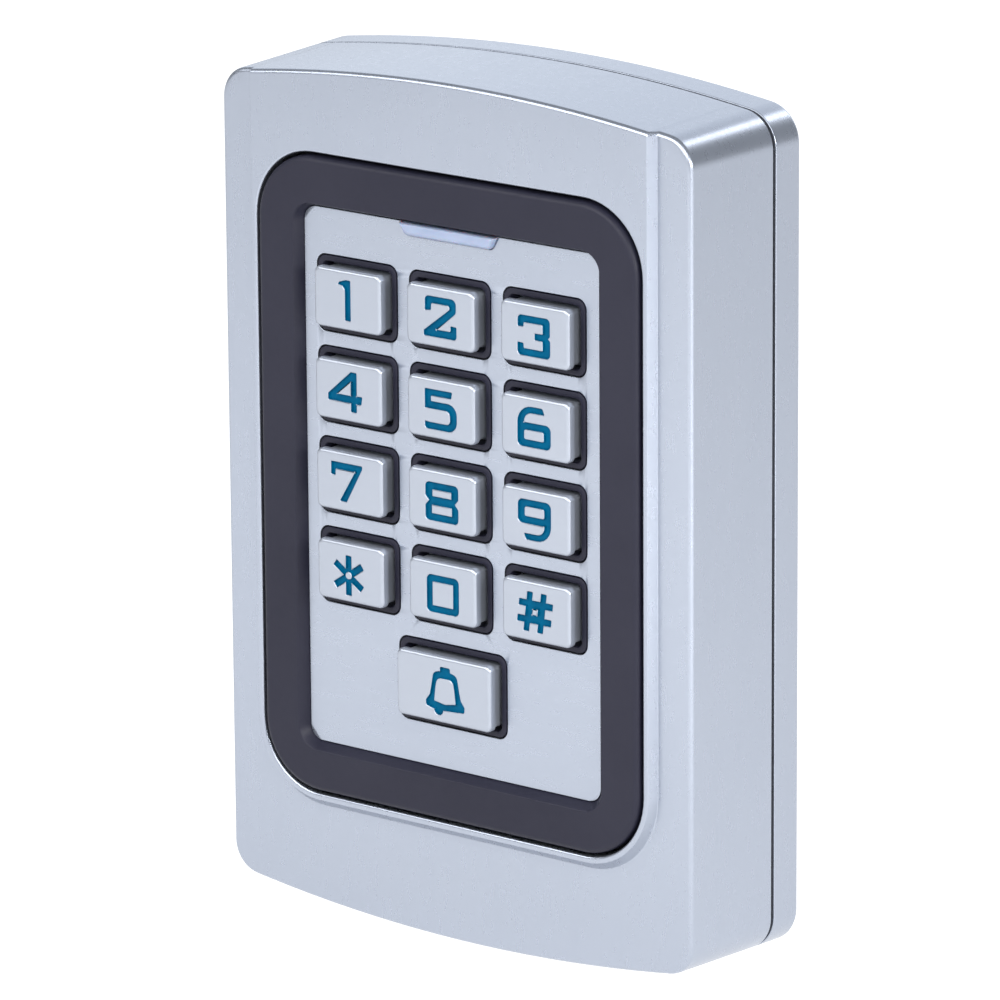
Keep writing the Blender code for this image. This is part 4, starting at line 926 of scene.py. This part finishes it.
def bezel():
    """Dark frame with a rounded rim, a sloping inner wall and a guide collar for each key."""
    solid = Solid()
    levels = [(opening_outline(-FRAME_GAP - inset), FRAME_FRONT_Y + depth)
              for inset, depth in quarter_round(FRAME_EDGE_R, 6)]
    levels += [(opening_outline(-FRAME_GAP), FLANGE_FRONT_Y),
               (opening_outline(FLANGE_LAP), FLANGE_FRONT_Y),
               (opening_outline(FLANGE_LAP), FLANGE_REAR_Y)]
    front, flange = solid.stack(levels, False, False)
    slope_y = PLATE_Y + PLATE_GAP
    rim = [(recess_outline(FRAME_INNER_EDGE - bend), FRAME_FRONT_Y + drop)
           for bend, drop in FRAME_INNER_BENDS]
    foot_outline = recess_outline(-FRAME_SLOPE, -FRAME_SLOPE_TOP)
    inner, floor = solid.stack(rim + [(foot_outline, slope_y), (foot_outline, FRAME_FLOOR_Y)],
                               False, False)
    solid.fill(front, inner)
    mouth, pocket = solid.stack([(recess_outline(FRAME_POCKET_MARGIN), FLANGE_REAR_Y),
                                 (recess_outline(FRAME_POCKET_MARGIN), FRAME_POCKET_Y)], False, False)
    solid.fill(flange, mouth)
    floor_loops, pocket_loops = [floor], [pocket]
    edge = COLLAR_EDGE
    bend = EDGE_BEND * edge
    outer_r = HOLE_R - COLLAR_GAP
    for _, x, z, hole_w, hole_h in key_places():
        w, h = hole_w - 2 * COLLAR_GAP, hole_h - 2 * COLLAR_GAP
        bore_w, bore_h = w - 2 * COLLAR_T, h - 2 * COLLAR_T
        foot, exit_ring = solid.stack([
            (centred_rect(x, z, w, h, outer_r), FRAME_FLOOR_Y),
            (centred_rect(x, z, w, h, outer_r), PLATE_Y + edge),
            (centred_rect(x, z, w - 2 * bend, h - 2 * bend, outer_r - bend), PLATE_Y + bend),
            (centred_rect(x, z, w - 2 * edge, h - 2 * edge, outer_r - edge), PLATE_Y),
            (centred_rect(x, z, bore_w + 2 * edge, bore_h + 2 * edge, KEY_CORNER_R + edge), PLATE_Y),
            (centred_rect(x, z, bore_w + 2 * bend, bore_h + 2 * bend, KEY_CORNER_R), PLATE_Y + bend),
            (centred_rect(x, z, bore_w, bore_h, KEY_CORNER_R), PLATE_Y + edge),
            (centred_rect(x, z, bore_w, bore_h, KEY_CORNER_R), FRAME_POCKET_Y),
        ], False, False)
        floor_loops.append(foot)
        pocket_loops.append(exit_ring)
    slot_front, slot_rear = solid.stack([(lens_outline(LENS_GAP), FRAME_FLOOR_Y),
                                         (lens_outline(LENS_GAP), FRAME_POCKET_Y)], False, False)
    solid.fill(*floor_loops, slot_front)
    solid.fill(*pocket_loops, slot_rear)
    even_shading(solid.finish("bezel", "black_frame", "root", "bezel_frame"))


def plate_outline(grow):
    """Key plate edge, with the notch that the indicator lens fills."""
    edge = recess_outline(-FRAME_SLOPE - PLATE_GAP - grow, -FRAME_SLOPE_TOP - PLATE_GAP - grow)
    top = max(z for _, z in edge)
    notch = sorted(lens_outline(LENS_GAP + grow), key=lambda p: -p[0])
    split = max(range(len(edge)), key=lambda i: (edge[i][1] >= top - 1e-9, -edge[i][0]))
    half_w = LENS_TOP_HALF_W + LENS_GAP + grow
    return edge[:split] + [(half_w, top)] + notch + [(-half_w, top)] + edge[split:]


def pad_plate():
    """Thin metal plate; the rims of its holes are slightly softened."""
    solid = Solid()
    rear_y = PLATE_HIGH.y
    front_loops, rear_loops = [], []
    grows = (PLATE_EDGE, EDGE_BEND * PLATE_EDGE, 0.0)
    shapes = [[plate_outline(grow) for grow in grows]]
    for _, x, z, w, h in key_places():
        shapes.append([centred_rect(x, z, w + 2 * grow, h + 2 * grow, HOLE_R + grow) for grow in grows])
    for face, bend, side in shapes:
        front, rear = solid.stack([(face, PLATE_Y), (bend, PLATE_Y + EDGE_BEND * PLATE_EDGE),
                                   (side, PLATE_Y + PLATE_EDGE), (side, rear_y)], False, False)
        front_loops.append(front)
        rear_loops.append(rear)
    solid.fill(*front_loops)
    solid.fill(*rear_loops)
    even_shading(solid.finish("pad_plate", "key_plate_lacquer", "root", "key_plate"))


def light_bar():
    """Status light: a rounded head in the plate's notch, with the light pipe behind it."""
    solid = Solid()
    top_z = FRAME_INNER_TOP_Z - FRAME_SLOPE_TOP - PLATE_GAP - LENS_TOP_GAP
    head = [(lens_outline(-inset, top_z - LENS_TOP_LEAN * inset), LENS_LOW.y + depth)
            for inset, depth in quarter_round(LENS_EDGE_R, 6)]
    solid.stack(head + [(lens_outline(0.0, top_z), LENS_HEAD_REAR_Y),
                        (lens_outline(0.0), LENS_PIPE_FRONT_Y),
                        (lens_outline(0.0), LENS_HIGH.y)])
    even_shading(solid.finish("light_bar", "frosted_lens", "root", "indicator_lens"))


def back_plate():
    """Cast rear plate with softened edges, screw holes, lug and locating lip."""
    stations = plain_stations()
    solid = Solid()
    levels = [(case_section(inset, REAR_RIM_Y + depth, stations), REAR_RIM_Y + depth)
              for inset, depth in quarter_round(RIM_EDGE_R, 4)]
    levels += [(case_section(inset, -depth, stations), -depth)
               for inset, depth in reversed(quarter_round(REAR_EDGE_R, 5))]
    rim, back = solid.stack(levels, False, False)
    lip_outer = case_section(LIP_INSET, LIP_FRONT_Y, stations)
    lip_inner = case_section(LIP_INSET + LIP_T, LIP_FRONT_Y, stations)
    lip_foot, lip_front = solid.stack([(lip_outer, REAR_RIM_Y), (lip_outer, LIP_FRONT_Y)], False, False)
    lip_back, floor = solid.stack([(lip_inner, LIP_FRONT_Y), (lip_inner, REAR_FLOOR_Y)], False, False)
    solid.fill(rim, lip_foot)
    solid.fill(lip_front, lip_back)
    bend = EDGE_BEND * WALL_HOLE_EDGE
    inner_loops, outer_loops = [], []
    for x, z, radius in wall_holes():
        inner, outer = solid.stack([(circle(x, z, radius), REAR_FLOOR_Y),
                                    (circle(x, z, radius), -WALL_HOLE_EDGE),
                                    (circle(x, z, radius + bend), -bend),
                                    (circle(x, z, radius + WALL_HOLE_EDGE), 0.0)], False, False)
        inner_loops.append(inner)
        outer_loops.append(outer)
    lug = rounded_rect(LUG_HALF_W, LUG_TOP_Z, LUG_BOTTOM_Z, LUG_CORNER_R, 4)
    lug_foot, _ = solid.stack([(lug, REAR_FLOOR_Y), (lug, REAR_LOW.y)], False, True)
    solid.fill(floor, lug_foot, *inner_loops)
    solid.fill(back, *outer_loops)
    plate = solid.finish("back_plate", "housing_lacquer", "root", "rear_plate")
    cut(plate, upright_cutter([(LUG_HOLE_R, LUG_BOTTOM_Z - CUTTER_PAST),
                               (LUG_HOLE_R, LUG_TOP_Z + CUTTER_PAST)], LOCK_SCREW_Y))
    even_shading(plate)


def wall_holes():
    """(x, z, radius) of the four screw holes and the cable outlet."""
    low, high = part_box("cable_grommet")
    outlet_z = (low.z + high.z) / 2
    outlet_r = (high.x - low.x) / 2 - GROMMET_LAP
    return [(0.0, WALL_HOLE_HALF_TALL, WALL_HOLE_R), (0.0, -WALL_HOLE_HALF_TALL, WALL_HOLE_R),
            (WALL_HOLE_HALF_WIDE, 0.0, WALL_HOLE_R), (-WALL_HOLE_HALF_WIDE, 0.0, WALL_HOLE_R),
            (0.0, outlet_z, outlet_r)]


def grommet():
    """Rubber sleeve of the cable outlet, with a rounded mouth."""
    low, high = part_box("cable_grommet")
    cz, flange_r = (low.z + high.z) / 2, (high.x - low.x) / 2
    body_r = flange_r - GROMMET_BODY_INSET
    solid = Solid()
    mouth = [(circle(0, cz, GROMMET_BORE_R + inset), high.y - depth)
             for inset, depth in quarter_round(GROMMET_MOUTH_R, 5)]
    shoulder = [(circle(0, cz, body_r - inset), high.y - depth)
                for inset, depth in reversed(quarter_round(GROMMET_SHOULDER_R, 4))]
    levels = [(circle(0, cz, flange_r - GROMMET_FLANGE_EDGE), low.y),
              (circle(0, cz, flange_r), low.y + GROMMET_FLANGE_EDGE),
              (circle(0, cz, flange_r), low.y + GROMMET_FLANGE_T),
              (circle(0, cz, body_r), low.y + GROMMET_FLANGE_T)]
    levels += shoulder + mouth + [(circle(0, cz, GROMMET_BORE_R), low.y)]
    first, last = solid.stack(levels, False, False)
    solid.fill(first, last)
    even_shading(solid.finish("grommet", "black_rubber", "root", "cable_grommet"))


def lock_screw():
    """Security screw with a hexagon socket and a centre pin."""
    low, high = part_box("security_screw")
    seat_z = LOCK_SHOULDER_Z - LOCK_SEAT_GAP
    thread_low, thread_high = seat_z + LOCK_THREAD_START, high.z - LOCK_THREAD_END
    last = LOCK_THREAD_TURNS * 2 - 1
    thread = [(LOCK_SHANK_R if k % 2 else LOCK_SHANK_R - LOCK_THREAD_DEPTH,
               thread_low + (thread_high - thread_low) * k / last) for k in range(last + 1)]
    head = [(high.x, seat_z)] + [(high.x - inset, low.z + rise) for inset, rise in LOCK_HEAD_EDGE]
    solid = Solid()
    rings = upright_rings(solid, [(LOCK_SHANK_R * LOCK_TIP_TAPER, high.z)] + thread[::-1]
                          + [(LOCK_SHANK_R, seat_z)] + head, LOCK_SCREW_Y)
    floor_z = low.z + LOCK_SOCKET_DEPTH
    mouth, bottom = upright_rings(solid, [(LOCK_SOCKET_R, low.z), (LOCK_SOCKET_R, floor_z)],
                                  LOCK_SCREW_Y, 6)
    pin_foot, pin_top = upright_rings(solid, [(LOCK_PIN_R, floor_z), (LOCK_PIN_R, low.z + LOCK_PIN_SUNK)],
                                      LOCK_SCREW_Y, 16)
    for a, b in list(zip(rings, rings[1:])) + [(mouth, bottom), (pin_foot, pin_top)]:
        solid.wall(a, b)
    solid.bm.faces.new(rings[0])
    solid.bm.faces.new(pin_top)
    solid.fill(rings[-1], mouth, normal=(0, 0, 1))
    solid.fill(bottom, pin_foot, normal=(0, 0, 1))
    solid.finish("lock_screw", "zinc_steel", "root", "security_screw")


def dress_cad_nodes():
    """Give every CAD node the finish of its slot."""
    for entry in frame["record"]["subparts"]:
        node = frame["nodes"][entry["node"]]
        node.data.materials.clear()
        node.data.materials.append(MATERIALS[entry["material_slot"]])


# Studio

def studio_floor():
    """Pale floor, bright enough to read as plain white paper."""
    plane = bmesh.new()
    bmesh.ops.create_grid(plane, x_segments=1, y_segments=1, size=6.0)
    mesh = bpy.data.meshes.new("floor")
    plane.to_mesh(mesh)
    plane.free()
    floor = bpy.data.objects.new("floor", mesh)
    floor.location = (0.0, 0.0, CASE_LOW.z - FLOOR_GAP)
    paint = Nodes("floor_paint").set(Roughness=0.9, Specular_IOR_Level=0.0)
    paint.set(Base_Color=(0.30, 0.30, 0.30, 1.0), Emission_Color=(1.0, 1.0, 1.0, 1.0))
    paint.set(Emission_Strength=1.0)
    mesh.materials.append(paint.material)
    bpy.context.collection.objects.link(floor)


def soft_box(name, place, size, radiance, aim=(0.0, -0.015, 0.0), tint=(1.0, 1.0, 1.0)):
    """Rectangular lamp that faces its aim, as bright as its radiance."""
    light = bpy.data.lights.new(name, "AREA")
    light.shape = "RECTANGLE"
    light.size, light.size_y = size
    light.energy = radiance * math.pi * size[0] * size[1]
    light.color = tint
    lamp = bpy.data.objects.new(name, light)
    lamp.location = place
    lamp.rotation_euler = (Vector(aim) - Vector(place)).to_track_quat("-Z", "Y").to_euler()
    bpy.context.collection.objects.link(lamp)


def studio():
    """Soft daylight: lamps for the top and the front, and two that light the floor to be reflected."""
    world = bpy.data.worlds.new("studio")
    world.use_nodes = True
    background = world.node_tree.nodes["Background"]
    background.inputs["Color"].default_value = (0.93, 0.96, 1.0, 1.0)
    background.inputs["Strength"].default_value = 0.40
    bpy.context.scene.world = world
    bpy.context.scene.view_settings.view_transform = "Standard"
    soft_box("key", (-0.8, -1.3, 1.1), (0.9, 0.9), 1.1)
    soft_box("rear", (-0.9, 1.75, 0.95), (3.3, 1.6), 1.10,
             aim=(-0.5, 0.0, 0.2), tint=(0.86, 0.92, 1.0))
    soft_box("rear_strip", (0.24, 1.00, 0.82), (0.22, 0.5), 4.8)
    soft_box("front_floor", (-0.01, -0.42, 0.17), (0.48, 0.60), 4.0, aim=(-0.01, -0.42, -0.06))
    soft_box("right_floor", (0.36, -0.13, 0.11), (0.24, 0.16), 24.0, aim=(0.34, -0.12, -0.06))


def camera():
    data = bpy.data.cameras.new("camera")
    data.lens = CAMERA_LENS_MM
    data.sensor_width = 36.0
    data.clip_start = 0.05
    view = bpy.data.objects.new("camera", data)
    turn = (Matrix.Rotation(CAMERA_YAW, 4, "Z") @ Matrix.Rotation(math.pi / 2 - CAMERA_PITCH, 4, "X")
            @ Matrix.Rotation(CAMERA_ROLL, 4, "Z"))
    view.matrix_world = Matrix.Translation(CAMERA_AT) @ turn
    bpy.context.collection.objects.link(view)
    bpy.context.scene.camera = view


camera()
studio()
MATERIALS = make_materials()
dress_cad_nodes()
housing_shell()
back_plate()
bezel()
pad_plate()
light_bar()
for key in key_places():
    key_cap(*key)
    key_legend(*key[:3])
grommet()
lock_screw()
studio_floor()
